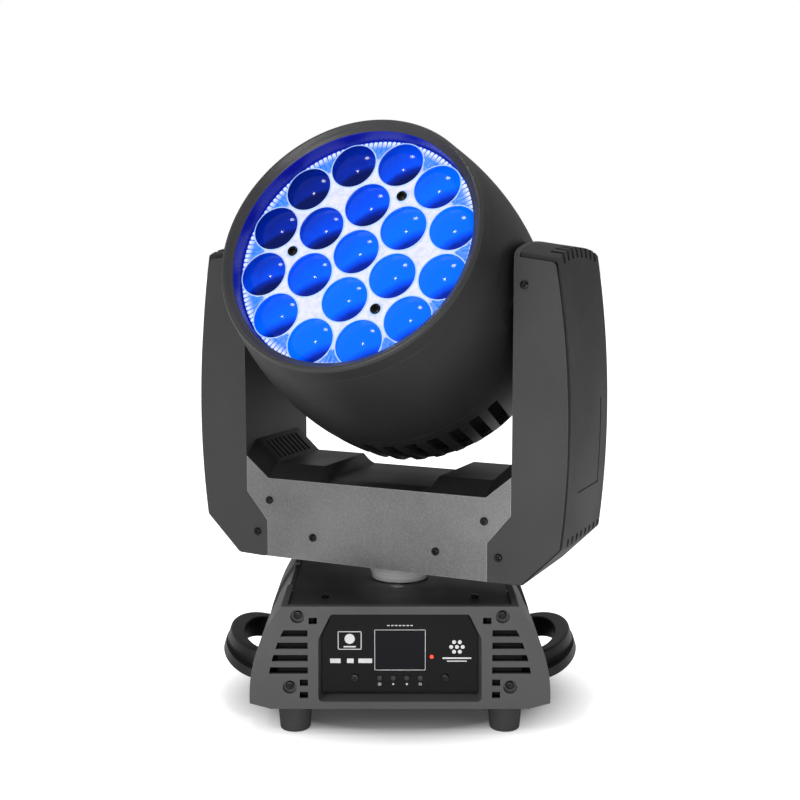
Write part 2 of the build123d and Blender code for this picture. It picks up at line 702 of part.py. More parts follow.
for side, name in ((-1, "arm_shell_left"), (1, "arm_shell_right")):
    with BuildPart() as arm_shell:
        with BuildSketch(Plane.XZ.offset(yoke_half_depth)):
            add(arm_profile())
        extrude(amount=-2 * yoke_half_depth)
        with BuildSketch(Plane.XZ.offset(yoke_half_depth - arm_sheet)):
            add(arm_hollow(arm_sheet))
        extrude(amount=-2 * (yoke_half_depth - arm_sheet), mode=Mode.SUBTRACT)
        # window where the frame passes from the crossbar into the arm
        with Locations((crossbar_half + 8, 0, (yoke_bottom + arm_kink_z) / 2 + 4)):
            Box(50, 2 * (frame_half_depth + 2), arm_kink_z - yoke_bottom + 4, mode=Mode.SUBTRACT)
        with BuildSketch(Plane.YZ):
            with Locations((tilt_y, tilt_z)):
                Circle(shaft_radius + 2.5)
        extrude(amount=arm_inner + 10, mode=Mode.SUBTRACT)
        with BuildSketch(Plane.XZ.offset(yoke_half_depth)):
            with Locations(*arm_screws):
                Circle(screw_shank + 0.1)
        extrude(amount=-2 * yoke_half_depth, mode=Mode.SUBTRACT)
        with BuildPart(mode=Mode.PRIVATE) as crest:
            with Locations((arm_inner, 0, arm_top - 6.0)):
                Box(arm_sheet + cover_step - gap, 2 * (yoke_half_depth - 1), 40,
                    align=(Align.MIN, Align.CENTER, Align.MIN))
            add(arch(), mode=Mode.INTERSECT)
        add(crest.part)
        if side < 0:
            mirror(about=Plane.YZ, mode=Mode.REPLACE)
    keep(arm_shell, name, yoke_pieces)

cover_half = yoke_half_depth - arm_sheet - gap
for side, name in ((-1, "arm_cover_left"), (1, "arm_cover_right")):
    with BuildPart() as arm_cover:
        with BuildSketch(Plane.XZ.offset(cover_half)):
            add(arm_profile(arch_rise))
            offset(amount=cover_proud)
        extrude(amount=-2 * cover_half)
        add(arch(), mode=Mode.INTERSECT)
        with BuildPart(mode=Mode.PRIVATE) as room:
            with BuildSketch(Plane.XZ.offset(cover_half + 1)):
                add(arm_profile(arch_rise))
                offset(amount=cover_proud - arm_sheet)
            extrude(amount=-2 * (cover_half + 1))
            add(arch(arm_sheet), mode=Mode.INTERSECT)
        add(room.part, mode=Mode.SUBTRACT)
        with BuildSketch(Plane.XZ.offset(cover_half + 1)):
            add(arm_hollow(arm_sheet + cover_step))
        extrude(amount=-2 * (cover_half + 1), mode=Mode.INTERSECT)
        # shallow L-shaped line on the outer face
        low = yoke_bottom + 80.8
        for y1, y2, z1, z2 in ((33.0, 35.4, low, low + 153), (-26.0, 33.0, low, low + 2.4)):
            with BuildSketch(Plane.XZ.offset(-y1)):
                add(arm_profile())
                offset(amount=cover_proud)
                with BuildSketch(mode=Mode.PRIVATE) as core:
                    add(arm_profile())
                    offset(amount=cover_proud - 1.0)
                add(core.sketch, mode=Mode.SUBTRACT)
                with Locations((yoke_half_width, (z1 + z2) / 2)):
                    Rectangle(80, z2 - z1, mode=Mode.INTERSECT)
            extrude(amount=-(y2 - y1), mode=Mode.SUBTRACT)
        # vents over the outer top edge and along the lower knee
        for k in range(arm_vent_count):
            y = arm_vent_pitch * (k - (arm_vent_count - 1) / 2)
            crest_z = arm_crown[1] + arch_rise * sqrt(1 - (y / yoke_half_depth) ** 2)
            with Locations((arm_crown[0] + 2.0, y, crest_z + 4.0)):
                Box(22, arm_vent, 26, mode=Mode.SUBTRACT)
            with Locations((arm_knee[0] + 1.0, y + 5.0, arm_knee[1] - 4.0)):
                Box(18, arm_vent, 20, mode=Mode.SUBTRACT)
        if side < 0:
            mirror(about=Plane.YZ, mode=Mode.REPLACE)
    keep(arm_cover, name, yoke_pieces)


def cover_section(floor, platform, louvre):
    """The cover's bent sheet across the crossbar, at one depth."""
    half = arm_inner - gap
    right = [(half, louvre), (wing_x, platform), (platform_inner, platform), (platform_inner - 10, floor)]
    top = right + [(-x, z) for x, z in reversed(right)]
    under = [(x, z - cover_sheet) for x, z in reversed(top)]
    with BuildSketch() as strip:
        with BuildLine():
            Polyline(*top, *under, close=True)
        make_face()
    return strip.sketch


with BuildPart() as crossbar_cover:
    low_section = cover_section(crossbar_top - 0.6, crossbar_top, crossbar_wing)
    high_section = cover_section(trough_z, platform_z, louvre_top)
    stations = ((-inner_depth, low_section), (-platform_depth, high_section),
                (platform_depth, high_section), (inner_depth, low_section))
    for near, far in zip(stations, stations[1:]):
        for y, section in (near, far):
            with BuildSketch(Plane.XZ.offset(-y)):
                add(section)
        loft(ruled=True)
    slot_pitch = 2 * louvre_half / louvre_count
    for side in (-1, 1):
        for k in range(louvre_count):
            y = -louvre_half + slot_pitch * (k + 0.5)
            with Locations((side * (wing_x + arm_inner) / 2, y, louvre_top)):
                Box(louvre_width, slot_pitch * 0.5, 60, mode=Mode.SUBTRACT)
keep(crossbar_cover, "crossbar_cover", yoke_pieces)

bearing_x = arm_inner + arm_sheet + gap
with BuildPart() as tilt_bearings:
    for side in (-1, 1):
        with BuildSketch(Plane.YZ.offset(side * bearing_x)):
            with Locations((tilt_y, tilt_z)):
                Circle(17.0)
                Circle(shaft_radius + slip, mode=Mode.SUBTRACT)
        extrude(amount=side * (frame_sheet + 2))
keep(tilt_bearings, "tilt_bearings", yoke_pieces)

gear_x = bearing_x + frame_sheet + 3.0
motor_z = tilt_z - tilt_motor_drop
with BuildPart() as tilt_motor:
    with Locations((-(gear_x + belt_width + 4), tilt_y, motor_z)):
        Box(24, 48, 48, align=(Align.MAX, Align.CENTER, Align.CENTER))
    fillet(tilt_motor.edges().filter_by(Axis.X), 4)
keep(tilt_motor, "tilt_motor", yoke_pieces)

with BuildPart(Plane(origin=(-gear_x, tilt_y, motor_z), z_dir=(-1, 0, 0))) as tilt_pinion:
    toothed_wheel(tilt_pinion_radius, belt_width + 2, 0.5, 17)
    with Locations((0, 0, belt_width + 2)):
        Cylinder(3.0, 1.5, align=(Align.CENTER, Align.CENTER, Align.MIN))
keep(tilt_pinion, "tilt_pinion", yoke_pieces)

with BuildPart() as tilt_belt:
    for grow, mode in ((gap + belt_thick, Mode.ADD), (gap, Mode.SUBTRACT)):
        with BuildSketch(Plane.YZ.offset(-gear_x - 1)):
            with Locations((tilt_y, tilt_z)):
                Circle(tilt_gear_radius + grow)
            with Locations((tilt_y, motor_z)):
                Circle(tilt_pinion_radius + grow)
            make_hull()
        extrude(amount=-belt_width, mode=mode)
keep(tilt_belt, "tilt_belt", yoke_pieces)

with BuildPart() as yoke_screws:
    for x, z in crossbar_screws + arm_screws:
        for side in (-1, 1):
            add(screw.part.moved(Location((side * x, -yoke_half_depth, z), (90, 0, 0))))
            add(screw.part.moved(Location((side * x, yoke_half_depth, z), (-90, 0, 0))))
keep(yoke_screws, "yoke_screws", yoke_pieces)

# ---- head, pointing up, tilt axis through the origin along X --------------------
ring_back = rim_front - rim_depth
with BuildPart() as front_ring:
    with BuildSketch(Plane.XZ):
        with BuildLine():
            Polyline((crown(ring_back), ring_back), (rim_radius + 1.6, rim_front - 3.2),
                     (rim_radius, rim_front), (rim_radius - 2.0, rim_front + 0.5),
                     (mouth_radius, rim_front - mouth_sink), (mouth_radius + 1.0, 70.0),
                     (mouth_radius + 3.4, 70.0), (mouth_radius + 3.4, ring_back), close=True)
        make_face()
    revolve(axis=Axis.Z)
keep(front_ring, "front_ring", head_pieces)


def shell_profile(inset, low, high):
    """Half section of the head's shell between two distances along the axis."""
    edge_low = crown(low) - inset
    edge_high = crown(high) - inset
    middle = (low + high) / 2
    with BuildSketch() as section:
        with BuildLine():
            Line((0, low), (edge_low, low))
            ThreePointArc((edge_low, low), (crown(middle) - inset, middle), (edge_high, high))
            Polyline((edge_high, high), (0, high), (0, low))
        make_face()
    return section.sketch


front_high = ring_back - 0.1
with BuildPart() as front_shell:
    with BuildSketch(Plane.XZ):
        add(shell_profile(0, seam_s, front_high))
    revolve(axis=Axis.Z)
    Box(2 * head_flat, 4 * crown_radius, 4 * crown_radius, mode=Mode.INTERSECT)
    with BuildPart(mode=Mode.PRIVATE) as hollow:
        with BuildSketch(Plane.XZ):
            add(shell_profile(shell_wall, seam_s - 1, front_high + 1))
        revolve(axis=Axis.Z)
        Box(2 * (head_flat - shell_wall), 4 * crown_radius, 4 * crown_radius, mode=Mode.INTERSECT)
    add(hollow.part, mode=Mode.SUBTRACT)
    with BuildSketch(Plane.YZ):
        Circle(shaft_radius + gap)
    extrude(amount=crown_radius, both=True, mode=Mode.SUBTRACT)
keep(front_shell, "front_shell", head_pieces)


def rear_profile(inset):
    """Half section of the rear shell, or of its hollow when inset."""
    high = seam_s - 0.1 + (1 if inset else 0)
    tail_low = tail_s - 2.0 * (1 if inset else 0)
    middle = (cheek_s + high) / 2
    with BuildSketch() as section:
        with BuildLine():
            Polyline((0, high), (crown(high) - inset, high))
            ThreePointArc((crown(high) - inset, high), (crown(middle) - inset, middle),
                          (crown(cheek_s) - inset, cheek_s))
            Polyline((crown(cheek_s) - inset, cheek_s), (tail_radius - inset, tail_low + 2 + inset / 2),
                     (tail_radius - inset, tail_low), (0, tail_low), (0, high))
        make_face()
    return section.sketch


with BuildPart() as rear_shell:
    with BuildSketch(Plane.XZ):
        add(rear_profile(0))
    revolve(axis=Axis.Z)
    Box(2 * head_flat, 4 * crown_radius, 4 * crown_radius, mode=Mode.INTERSECT)
    with BuildPart(mode=Mode.PRIVATE) as rear_hollow:
        with BuildSketch(Plane.XZ):
            add(rear_profile(rear_wall))
        revolve(axis=Axis.Z)
        Box(2 * (head_flat - shell_wall), 4 * crown_radius, 4 * crown_radius, mode=Mode.INTERSECT)
    add(rear_hollow.part, mode=Mode.SUBTRACT)
    for k in range(rib_count):
        angle = 360 / rib_count * (k + 0.5)
        if abs(cos(radians(angle))) < cos(radians(slot_free)):
            with Locations(Location((0, 0, 0), (0, 0, angle))):
                with Locations((crown_radius - 20, 0, (seam_s + cheek_s) / 2 - 12)):
                    Box(60, slot_width, seam_s - cheek_s - 2, mode=Mode.SUBTRACT)
keep(rear_shell, "rear_shell", head_pieces)

grille_radius = tail_radius - rear_wall - gap
with BuildPart() as rear_grille:
    with BuildSketch(Plane.XY.offset(tail_s)):
        Circle(grille_radius)
        for ring in range(1, grille_rings + 1):
            for k in range(6):
                inner = grille_pitch * ring - grille_slot / 2
                outer = inner + grille_slot
                ends = [radians(60 * k - grille_arc / 2), radians(60 * k + grille_arc / 2)]
                with BuildLine():
                    for radius in (inner, outer):
                        CenterArc((0, 0), radius, 60 * k - grille_arc / 2, grille_arc)
                    for end in ends:
                        Line((inner * cos(end), inner * sin(end)), (outer * cos(end), outer * sin(end)))
                make_face(mode=Mode.SUBTRACT)
    extrude(amount=4.0)
keep(rear_grille, "rear_grille", head_pieces)

shaft_end = gear_x + belt_width + 2.5
flange_x = head_flat - shell_wall - gap
with BuildPart() as tilt_shafts:
    for side in (-1, 1):
        with BuildSketch(Plane.YZ.offset(side * (flange_x - 4))):
            Circle(13.0 + 9.0)
            Circle(shaft_radius - 4, mode=Mode.SUBTRACT)
        extrude(amount=side * 4)
        with BuildSketch(Plane.YZ.offset(side * flange_x)):
            Circle(shaft_radius)
            Circle(shaft_radius - 4, mode=Mode.SUBTRACT)
        extrude(amount=side * (shaft_end - flange_x))
keep(tilt_shafts, "tilt_shafts", head_pieces)

with BuildPart(Plane(origin=(-gear_x, 0, 0), z_dir=(-1, 0, 0))) as tilt_gear:
    toothed_wheel(tilt_gear_radius, belt_width + 2, shaft_radius + 0.02, 68)
keep(tilt_gear, "tilt_gear", head_pieces)

sink_top = board_s - 0.3
with BuildPart() as tilt_brackets:
    for side in (-1, 1):
        with Locations((side * (flange_x - 4 - gap), 0, (sink_top - 28) / 2)):
            Box(3, 50, sink_top + 28,
                align=(Align.MAX if side > 0 else Align.MIN, Align.CENTER, Align.CENTER))
        with Locations((side * (sink_radius + gap + 1), 0, sink_top)):
            Box(flange_x - 4 - gap - 3 - sink_radius - gap - 1, 50, 4,
                align=(Align.MIN if side > 0 else Align.MAX, Align.CENTER, Align.MAX))
keep(tilt_brackets, "tilt_brackets", head_pieces)


def post_bores(radius):
    """Clearance through everything the carriage posts pass."""
    for angle in post_angles:
        with Locations((post_ring * cos(radians(angle)), post_ring * sin(radians(angle)), 0)):
            Cylinder(radius, 400, mode=Mode.SUBTRACT)


with BuildPart() as heat_sink:
    with BuildSketch(Plane.XY.offset(sink_top)):
        Circle(sink_radius)
    extrude(amount=-sink_base)
    with BuildSketch(Plane.XY.offset(sink_top - sink_base)):
        with GridLocations(12, 1, 17, 1):
            Rectangle(2.4, 2 * sink_radius)
        Circle(sink_radius - 2, mode=Mode.INTERSECT)
    extrude(amount=-fin_depth)
    post_bores(post_radius + gap)
keep(heat_sink, "heat_sink", head_pieces)

with BuildPart() as led_board:
    with BuildSketch(Plane.XY.offset(board_s)):
        Circle(sink_radius + 4)
    extrude(amount=1.6)
    post_bores(post_radius + gap)
keep(led_board, "led_board", head_pieces)

with BuildPart() as fan_frame:
    with BuildSketch(Plane.XY.offset(fan_s)):
        RectangleRounded(2 * fan_half, 2 * fan_half, 6)
        Circle(fan_half - 2, mode=Mode.SUBTRACT)
    extrude(amount=-fan_depth)
    with BuildSketch(Plane.XY.offset(fan_s - fan_depth)):
        Circle(18)
        for k in range(4):
            with Locations(Location((0, 0, 0), (0, 0, 90 * k + 45))):
                with Locations((fan_half / 2, 0)):
                    Rectangle(fan_half, 4)
        Circle(fan_half, mode=Mode.INTERSECT)
    extrude(amount=3.0)
keep(fan_frame, "fan_frame", head_pieces)

rotor_low = fan_s - fan_depth + 4.0
with BuildPart() as fan_rotor:
    with Locations((0, 0, rotor_low)):
        Cylinder(19, 18, align=(Align.CENTER, Align.CENTER, Align.MIN))
    for k in range(7):
        turn = 360 / 7 * k
        with Locations(Location((0, 0, rotor_low + 9), (0, 0, turn))):
            with Locations(Location((36.5, 0, 0), (35, 0, 0))):
                Box(37, 22, 1.6)
keep(fan_rotor, "fan_rotor", head_pieces)

motor_spot = (post_ring * cos(radians(180)), post_ring * sin(radians(180)))
zoom_top = sink_top - sink_base - fin_depth - 1.0
with BuildPart() as zoom_motor:
    with Locations((*motor_spot, zoom_top)):
        Cylinder(14.0, 22.0, align=(Align.CENTER, Align.CENTER, Align.MAX))
keep(zoom_motor, "zoom_motor", head_pieces)

with BuildPart() as zoom_screw:
    with Locations((*motor_spot, zoom_top + gap)):
        Cylinder(screw_radius, lens_plate_s - nut_roof - zoom_in - 2.0 - zoom_top,
                 align=(Align.CENTER, Align.CENTER, Align.MIN))
keep(zoom_screw, "zoom_screw", head_pieces)

with BuildPart() as carriage_posts:
    for angle in post_angles:
        with Locations((post_ring * cos(radians(angle)), post_ring * sin(radians(angle)), lens_plate_s)):
            Cylinder(post_radius, lens_plate_s - sink_top + 20, align=(Align.CENTER, Align.CENTER, Align.MAX))
            Cylinder(screw_shank + 0.1, 14, mode=Mode.SUBTRACT)
            if angle == 180:
                with Locations((0, 0, -nut_roof)):
                    Cylinder(screw_radius + slip, 200, align=(Align.CENTER, Align.CENTER, Align.MAX),
                             mode=Mode.SUBTRACT)
keep(carriage_posts, "carriage_posts", head_pieces)

plate_radius = mouth_radius - 0.6
with BuildPart() as lens_plate:
    with BuildSketch(Plane.XY.offset(lens_plate_s)):
        Circle(plate_radius)
        with Locations(*lens_spots):
            Circle(lens_radius + 0.1, mode=Mode.SUBTRACT)
        for angle in post_angles:
            with Locations((post_ring * cos(radians(angle)), post_ring * sin(radians(angle)))):
                Circle(screw_shank + 0.1, mode=Mode.SUBTRACT)
    extrude(amount=lens_plate_thick)
keep(lens_plate, "lens_plate", head_pieces)

dome_radius = (lens_radius ** 2 + lens_dome ** 2) / (2 * lens_dome)
with BuildPart() as one_lens:
    with BuildSketch(Plane.XZ):
        base_s = lens_plate_s - 4
        top_s = lens_plate_s + lens_plate_thick
        with BuildLine():
            Polyline((0, top_s + lens_dome), (0, base_s), (lens_radius - 1, base_s),
                     (lens_radius, base_s + 1), (lens_radius, top_s))
            ThreePointArc((lens_radius, top_s),
                          (lens_radius / 2, top_s + lens_dome - dome_radius
                           + sqrt(dome_radius ** 2 - (lens_radius / 2) ** 2)),
                          (0, top_s + lens_dome))
        make_face()
    revolve(axis=Axis.Z)

with BuildPart() as lenses:
    for x, y in lens_spots:
        add(one_lens.part.moved(Location((x, y, 0))))
keep(lenses, "lenses", head_pieces)

with BuildPart() as lens_screws:
    for angle in post_angles:
        x, y = post_ring * cos(radians(angle)), post_ring * sin(radians(angle))
        add(screw.part.moved(Location((x, y, lens_plate_s + lens_plate_thick))))
keep(lens_screws, "lens_screws", head_pieces)

# ---- rest pose and files --------------------------------------------------------
yoke_place = Location((0, 0, 0), (0, 0, rest_pan))
head_place = yoke_place * Location((0, tilt_y, tilt_z), (90 - rest_tilt, 0, 0))
for piece in yoke_pieces:
    piece.part.move(yoke_place)
for piece in head_pieces:
    piece.part.move(head_place)
for piece in base_pieces + yoke_pieces + head_pieces:
    export_step(piece.part, f"parts/{piece.part.label}.step")
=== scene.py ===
import json
from math import atan2, cos, pi, radians, sin, sqrt

import bpy
from mathutils import Matrix, Vector

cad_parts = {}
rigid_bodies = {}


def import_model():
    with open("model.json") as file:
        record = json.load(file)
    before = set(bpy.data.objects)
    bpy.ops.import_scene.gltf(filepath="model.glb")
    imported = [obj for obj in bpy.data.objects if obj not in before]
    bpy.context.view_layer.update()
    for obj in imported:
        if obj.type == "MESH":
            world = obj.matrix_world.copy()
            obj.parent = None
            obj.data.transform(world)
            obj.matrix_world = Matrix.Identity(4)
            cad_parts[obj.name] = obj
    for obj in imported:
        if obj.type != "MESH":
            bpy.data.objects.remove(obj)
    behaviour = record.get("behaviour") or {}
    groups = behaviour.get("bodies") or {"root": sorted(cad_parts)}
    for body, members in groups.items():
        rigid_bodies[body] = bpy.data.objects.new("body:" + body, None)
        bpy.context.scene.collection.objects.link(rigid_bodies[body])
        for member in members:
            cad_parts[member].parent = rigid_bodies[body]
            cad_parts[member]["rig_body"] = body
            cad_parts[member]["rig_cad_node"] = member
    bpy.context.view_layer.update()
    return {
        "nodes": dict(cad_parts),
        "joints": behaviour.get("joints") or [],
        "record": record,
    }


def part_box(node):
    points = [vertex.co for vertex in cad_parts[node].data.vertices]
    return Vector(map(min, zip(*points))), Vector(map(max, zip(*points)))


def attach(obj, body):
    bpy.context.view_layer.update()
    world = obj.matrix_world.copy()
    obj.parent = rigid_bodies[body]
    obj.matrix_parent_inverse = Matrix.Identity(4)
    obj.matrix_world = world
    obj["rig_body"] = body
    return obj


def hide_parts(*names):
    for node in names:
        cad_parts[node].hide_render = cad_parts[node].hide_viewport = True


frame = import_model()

nodes = frame["nodes"]
joints = {joint["name"]: joint for joint in frame["joints"]}
print("frame loaded:", len(nodes), "nodes")

# places that everything below is hung on
tiltAxis = Vector(joints["tilt"]["axis"]).normalized()
beamAxis = Vector(joints["zoom"]["axis"]).normalized()
tiltPoint = Vector(joints["tilt"]["pos_m"])
headPlace = Matrix((tiltAxis, beamAxis.cross(tiltAxis), beamAxis)).transposed().to_4x4()
headPlace.translation = tiltPoint
panAngle = atan2(tiltAxis.y, tiltAxis.x)
yokePlace = Matrix.Rotation(panAngle, 4, "Z")


# ---- small helpers -------------------------------------------------------------
def deselectAll():
    if bpy.context.object and bpy.context.object.mode != "OBJECT":
        bpy.ops.object.mode_set(mode="OBJECT")
    bpy.ops.object.select_all(action="DESELECT")


def pick(piece):
    deselectAll()
    piece.select_set(True)
    bpy.context.view_layer.objects.active = piece


def selectFaces(piece, test):
    pick(piece)
    bpy.ops.object.mode_set(mode="EDIT")
    bpy.ops.mesh.select_mode(type="FACE")
    bpy.ops.mesh.select_all(action="DESELECT")
    bpy.ops.object.mode_set(mode="OBJECT")
    for face in piece.data.polygons:
        face.select = test(face)
    bpy.ops.object.mode_set(mode="EDIT")


def applyModifier(piece, kind, **values):
    pick(piece)
    modifier = piece.modifiers.new(kind.title(), kind)
    for key, value in values.items():
        setattr(modifier, key, value)
    bpy.ops.object.modifier_apply(modifier=modifier.name)


def settle(piece, place=None, angle=35):
    # turns the finished piece into its place and leaves its object at the origin
    pick(piece)
    if place is not None:
        piece.matrix_world = place @ piece.matrix_world
    bpy.ops.object.transform_apply(location=True, rotation=True, scale=True)
    bpy.ops.object.shade_smooth_by_angle(angle=radians(angle))


def joinAll(pieces, name):
    deselectAll()
    for piece in pieces:
        piece.select_set(True)
    bpy.context.view_layer.objects.active = pieces[0]
    bpy.ops.object.join()
    pieces[0].name = name
    pieces[0].data.name = name
    return pieces[0]


def copyOf(piece, offset=(0, 0, 0), turn=0.0):
    twin = piece.copy()
    twin.data = piece.data.copy()
    bpy.context.collection.objects.link(twin)
    twin.matrix_world = Matrix.Translation(offset) @ Matrix.Rotation(turn, 4, "Z") @ twin.matrix_world
    return twin


# ---- shared effects --------------------------------------------------------------
def newGroup(name, inputs, outputs):
    group = bpy.data.node_groups.new(name, "ShaderNodeTree")
    for label, kind, value in inputs:
        socket = group.interface.new_socket(name=label, in_out="INPUT", socket_type=kind)
        if value is not None:
            socket.default_value = value
    for label, kind in outputs:
        group.interface.new_socket(name=label, in_out="OUTPUT", socket_type=kind)
    return group, group.nodes.new("NodeGroupInput"), group.nodes.new("NodeGroupOutput")


def mathNode(tree, operation, a, b=None, clamp=False):
    node = tree.nodes.new("ShaderNodeMath")
    node.operation = operation
    node.use_clamp = clamp
    for socket, value in zip(node.inputs, (a, b)):
        if value is None:
            continue
        if isinstance(value, (int, float)):
            socket.default_value = value
        else:
            tree.links.new(value, socket)
    return node.outputs[0]


def noiseNode(tree, vector, scale, detail=4.0, roughness=0.55):
    node = tree.nodes.new("ShaderNodeTexNoise")
    node.inputs["Detail"].default_value = detail
    node.inputs["Roughness"].default_value = roughness
    tree.links.new(vector, node.inputs["Vector"])
    if isinstance(scale, (int, float)):
        node.inputs["Scale"].default_value = scale
    else:
        tree.links.new(scale, node.inputs["Scale"])
    return node.outputs["Fac"]


def mouldedGrain():
    # fine spark-eroded grain of a moulded or powder-coated skin, with slow cloudiness over it
    group, source, out = newGroup("mouldedGrain", [("Scale", "NodeSocketFloat", 1400.0),
                                                   ("Cloud Scale", "NodeSocketFloat", 9.0)],
                                  [("Height", "NodeSocketFloat"), ("Cloud", "NodeSocketFloat"),
                                   ("Speck", "NodeSocketFloat")])
    place = group.nodes.new("ShaderNodeTexCoord").outputs["Object"]
    fine = noiseNode(group, place, source.outputs["Scale"], 2.0)
    cloud = noiseNode(group, place, source.outputs["Cloud Scale"], 5.0)
    voronoi = group.nodes.new("ShaderNodeTexVoronoi")
    group.links.new(place, voronoi.inputs["Vector"])
    group.links.new(source.outputs["Scale"], voronoi.inputs["Scale"])
    height = mathNode(group, "ADD", mathNode(group, "MULTIPLY", fine, 0.6),
                      mathNode(group, "MULTIPLY", voronoi.outputs["Distance"], 0.5))
    speck = mathNode(group, "GREATER_THAN", noiseNode(group, place, 620.0, 1.0), 0.71)
    group.links.new(height, out.inputs["Height"])
    group.links.new(cloud, out.inputs["Cloud"])
    group.links.new(speck, out.inputs["Speck"])
    return group


def brushedLines():
    # turning or brushing marks along one direction, set by stretching the space
    group, source, out = newGroup("brushedLines", [("Stretch", "NodeSocketVector", (600.0, 600.0, 20.0))],
                                  [("Height", "NodeSocketFloat"), ("Streak", "NodeSocketFloat")])
    place = group.nodes.new("ShaderNodeTexCoord").outputs["Object"]
    stretch = group.nodes.new("ShaderNodeVectorMath")
    stretch.operation = "MULTIPLY"
    group.links.new(place, stretch.inputs[0])
    group.links.new(source.outputs["Stretch"], stretch.inputs[1])
    line = noiseNode(group, stretch.outputs[0], 1.0, 3.0)
    streak = noiseNode(group, stretch.outputs[0], 0.2, 4.0)
    group.links.new(line, out.inputs["Height"])
    group.links.new(streak, out.inputs["Streak"])
    return group


def fineDust():
    # thin dust that lies on faces looking up
    group, source, out = newGroup("fineDust", [("Amount", "NodeSocketFloat", 0.15)],
                                  [("Mask", "NodeSocketFloat")])
    place = group.nodes.new("ShaderNodeTexCoord").outputs["Object"]
    facing = group.nodes.new("ShaderNodeSeparateXYZ")
    group.links.new(group.nodes.new("ShaderNodeNewGeometry").outputs["Normal"], facing.inputs[0])
    patchy = noiseNode(group, place, 26.0, 6.0, 0.7)
    upward = mathNode(group, "POWER", mathNode(group, "MAXIMUM", facing.outputs["Z"], 0.0), 3.0)
    mask = mathNode(group, "MULTIPLY", upward, patchy)
    mask = mathNode(group, "MULTIPLY", mask, source.outputs["Amount"], True)
    group.links.new(mask, out.inputs["Mask"])
    return group



def edgeWearAndHighlight():
    # worn edges with a painted edge highlight: where the rounded normal leaves the true one
    group, source, out = newGroup("edgeWearAndHighlight", [("Radius", "NodeSocketFloat", 0.0008)],
                                  [("Mask", "NodeSocketFloat")])
    rounded = group.nodes.new("ShaderNodeBevel")
    rounded.samples = 4
    group.links.new(source.outputs["Radius"], rounded.inputs["Radius"])
    flat = group.nodes.new("ShaderNodeNewGeometry")
    dot = group.nodes.new("ShaderNodeVectorMath")
    dot.operation = "DOT_PRODUCT"
    group.links.new(rounded.outputs["Normal"], dot.inputs[0])
    group.links.new(flat.outputs["Normal"], dot.inputs[1])
    place = group.nodes.new("ShaderNodeTexCoord").outputs["Object"]
    patchy = noiseNode(group, place, 90.0, 4.0, 0.65)
    edge = mathNode(group, "MULTIPLY", mathNode(group, "SUBTRACT", 1.0, dot.outputs["Value"]), 6.0, True)
    group.links.new(mathNode(group, "MULTIPLY", edge, patchy), out.inputs["Mask"])
    return group


grainGroup = mouldedGrain()
linesGroup = brushedLines()
dustGroup = fineDust()
wearAndHighlightGroup = edgeWearAndHighlight()
print("effects built")

# ---- finishes ---------------------------------------------------------------------
def startMaterial(name):
    material = bpy.data.materials.new(name)
    material.use_nodes = True
    return material, material.node_tree, material.node_tree.nodes["Principled BSDF"]


def placeGroup(tree, group, **values):
    node = tree.nodes.new("ShaderNodeGroup")
    node.node_tree = group
    for key, value in values.items():
        node.inputs[key].default_value = value
    return node


def rangeNode(tree, value, low, high, fromLow=0.3, fromHigh=0.7):
    node = tree.nodes.new("ShaderNodeMapRange")
    node.inputs["From Min"].default_value = fromLow
    node.inputs["From Max"].default_value = fromHigh
    node.inputs["To Min"].default_value = low
    node.inputs["To Max"].default_value = high
    tree.links.new(value, node.inputs["Value"])
    return node.outputs["Result"]


def mixColour(tree, mask, first, second):
    node = tree.nodes.new("ShaderNodeMix")
    node.data_type = "RGBA"
    for index, value in ((0, mask), (6, first), (7, second)):
        socket = node.inputs[index]
        if isinstance(value, (tuple, float)):
            socket.default_value = (*value, 1.0) if isinstance(value, tuple) else value
        else:
            tree.links.new(value, socket)
    return node.outputs[2]


def bumpNode(tree, height, strength, distance):
    node = tree.nodes.new("ShaderNodeBump")
    node.inputs["Strength"].default_value = strength
    node.inputs["Distance"].default_value = distance
    tree.links.new(height, node.inputs["Height"])
    return node.outputs["Normal"]


def mouldedPlastic(name, dark, light, roughness=(0.42, 0.55), grain=1400.0, strength=0.25, wearAndHighlight=0.5):
    material, tree, shader = startMaterial(name)
    shader.inputs["Specular IOR Level"].default_value = 0.35
    skin = placeGroup(tree, grainGroup, Scale=grain)
    film = placeGroup(tree, dustGroup, Amount=0.03)
    edges = placeGroup(tree, wearAndHighlightGroup)
    wornAndLitEdge = tuple(channel * 2.2 + 0.02 for channel in light)
    colour = mixColour(tree, rangeNode(tree, skin.outputs["Cloud"], 0.0, 1.0), dark, light)
    # edges lightened: real wear together with a painted edge highlight
    colour = mixColour(tree, mathNode(tree, "MULTIPLY", edges.outputs["Mask"], wearAndHighlight), colour, wornAndLitEdge)
    colour = mixColour(tree, film.outputs["Mask"], colour, (0.30, 0.29, 0.28))
    tree.links.new(colour, shader.inputs["Base Color"])
    sheen = rangeNode(tree, skin.outputs["Cloud"], roughness[1], roughness[0])
    tree.links.new(sheen, shader.inputs["Roughness"])
    tree.links.new(bumpNode(tree, skin.outputs["Height"], strength, 0.0002), shader.inputs["Normal"])
    return material


def platedMetal(name, dark, light, roughness=(0.18, 0.32), stretch=(600.0, 600.0, 20.0), strength=0.15):
    material, tree, shader = startMaterial(name)
    shader.inputs["Metallic"].default_value = 1.0
    lines = placeGroup(tree, linesGroup, Stretch=stretch)
    colour = mixColour(tree, rangeNode(tree, lines.outputs["Streak"], 0.0, 1.0), dark, light)
    tree.links.new(colour, shader.inputs["Base Color"])
    sheen = rangeNode(tree, lines.outputs["Streak"], *roughness)
    tree.links.new(sheen, shader.inputs["Roughness"])
    tree.links.new(bumpNode(tree, lines.outputs["Height"], strength, 0.0001), shader.inputs["Normal"])
    return material


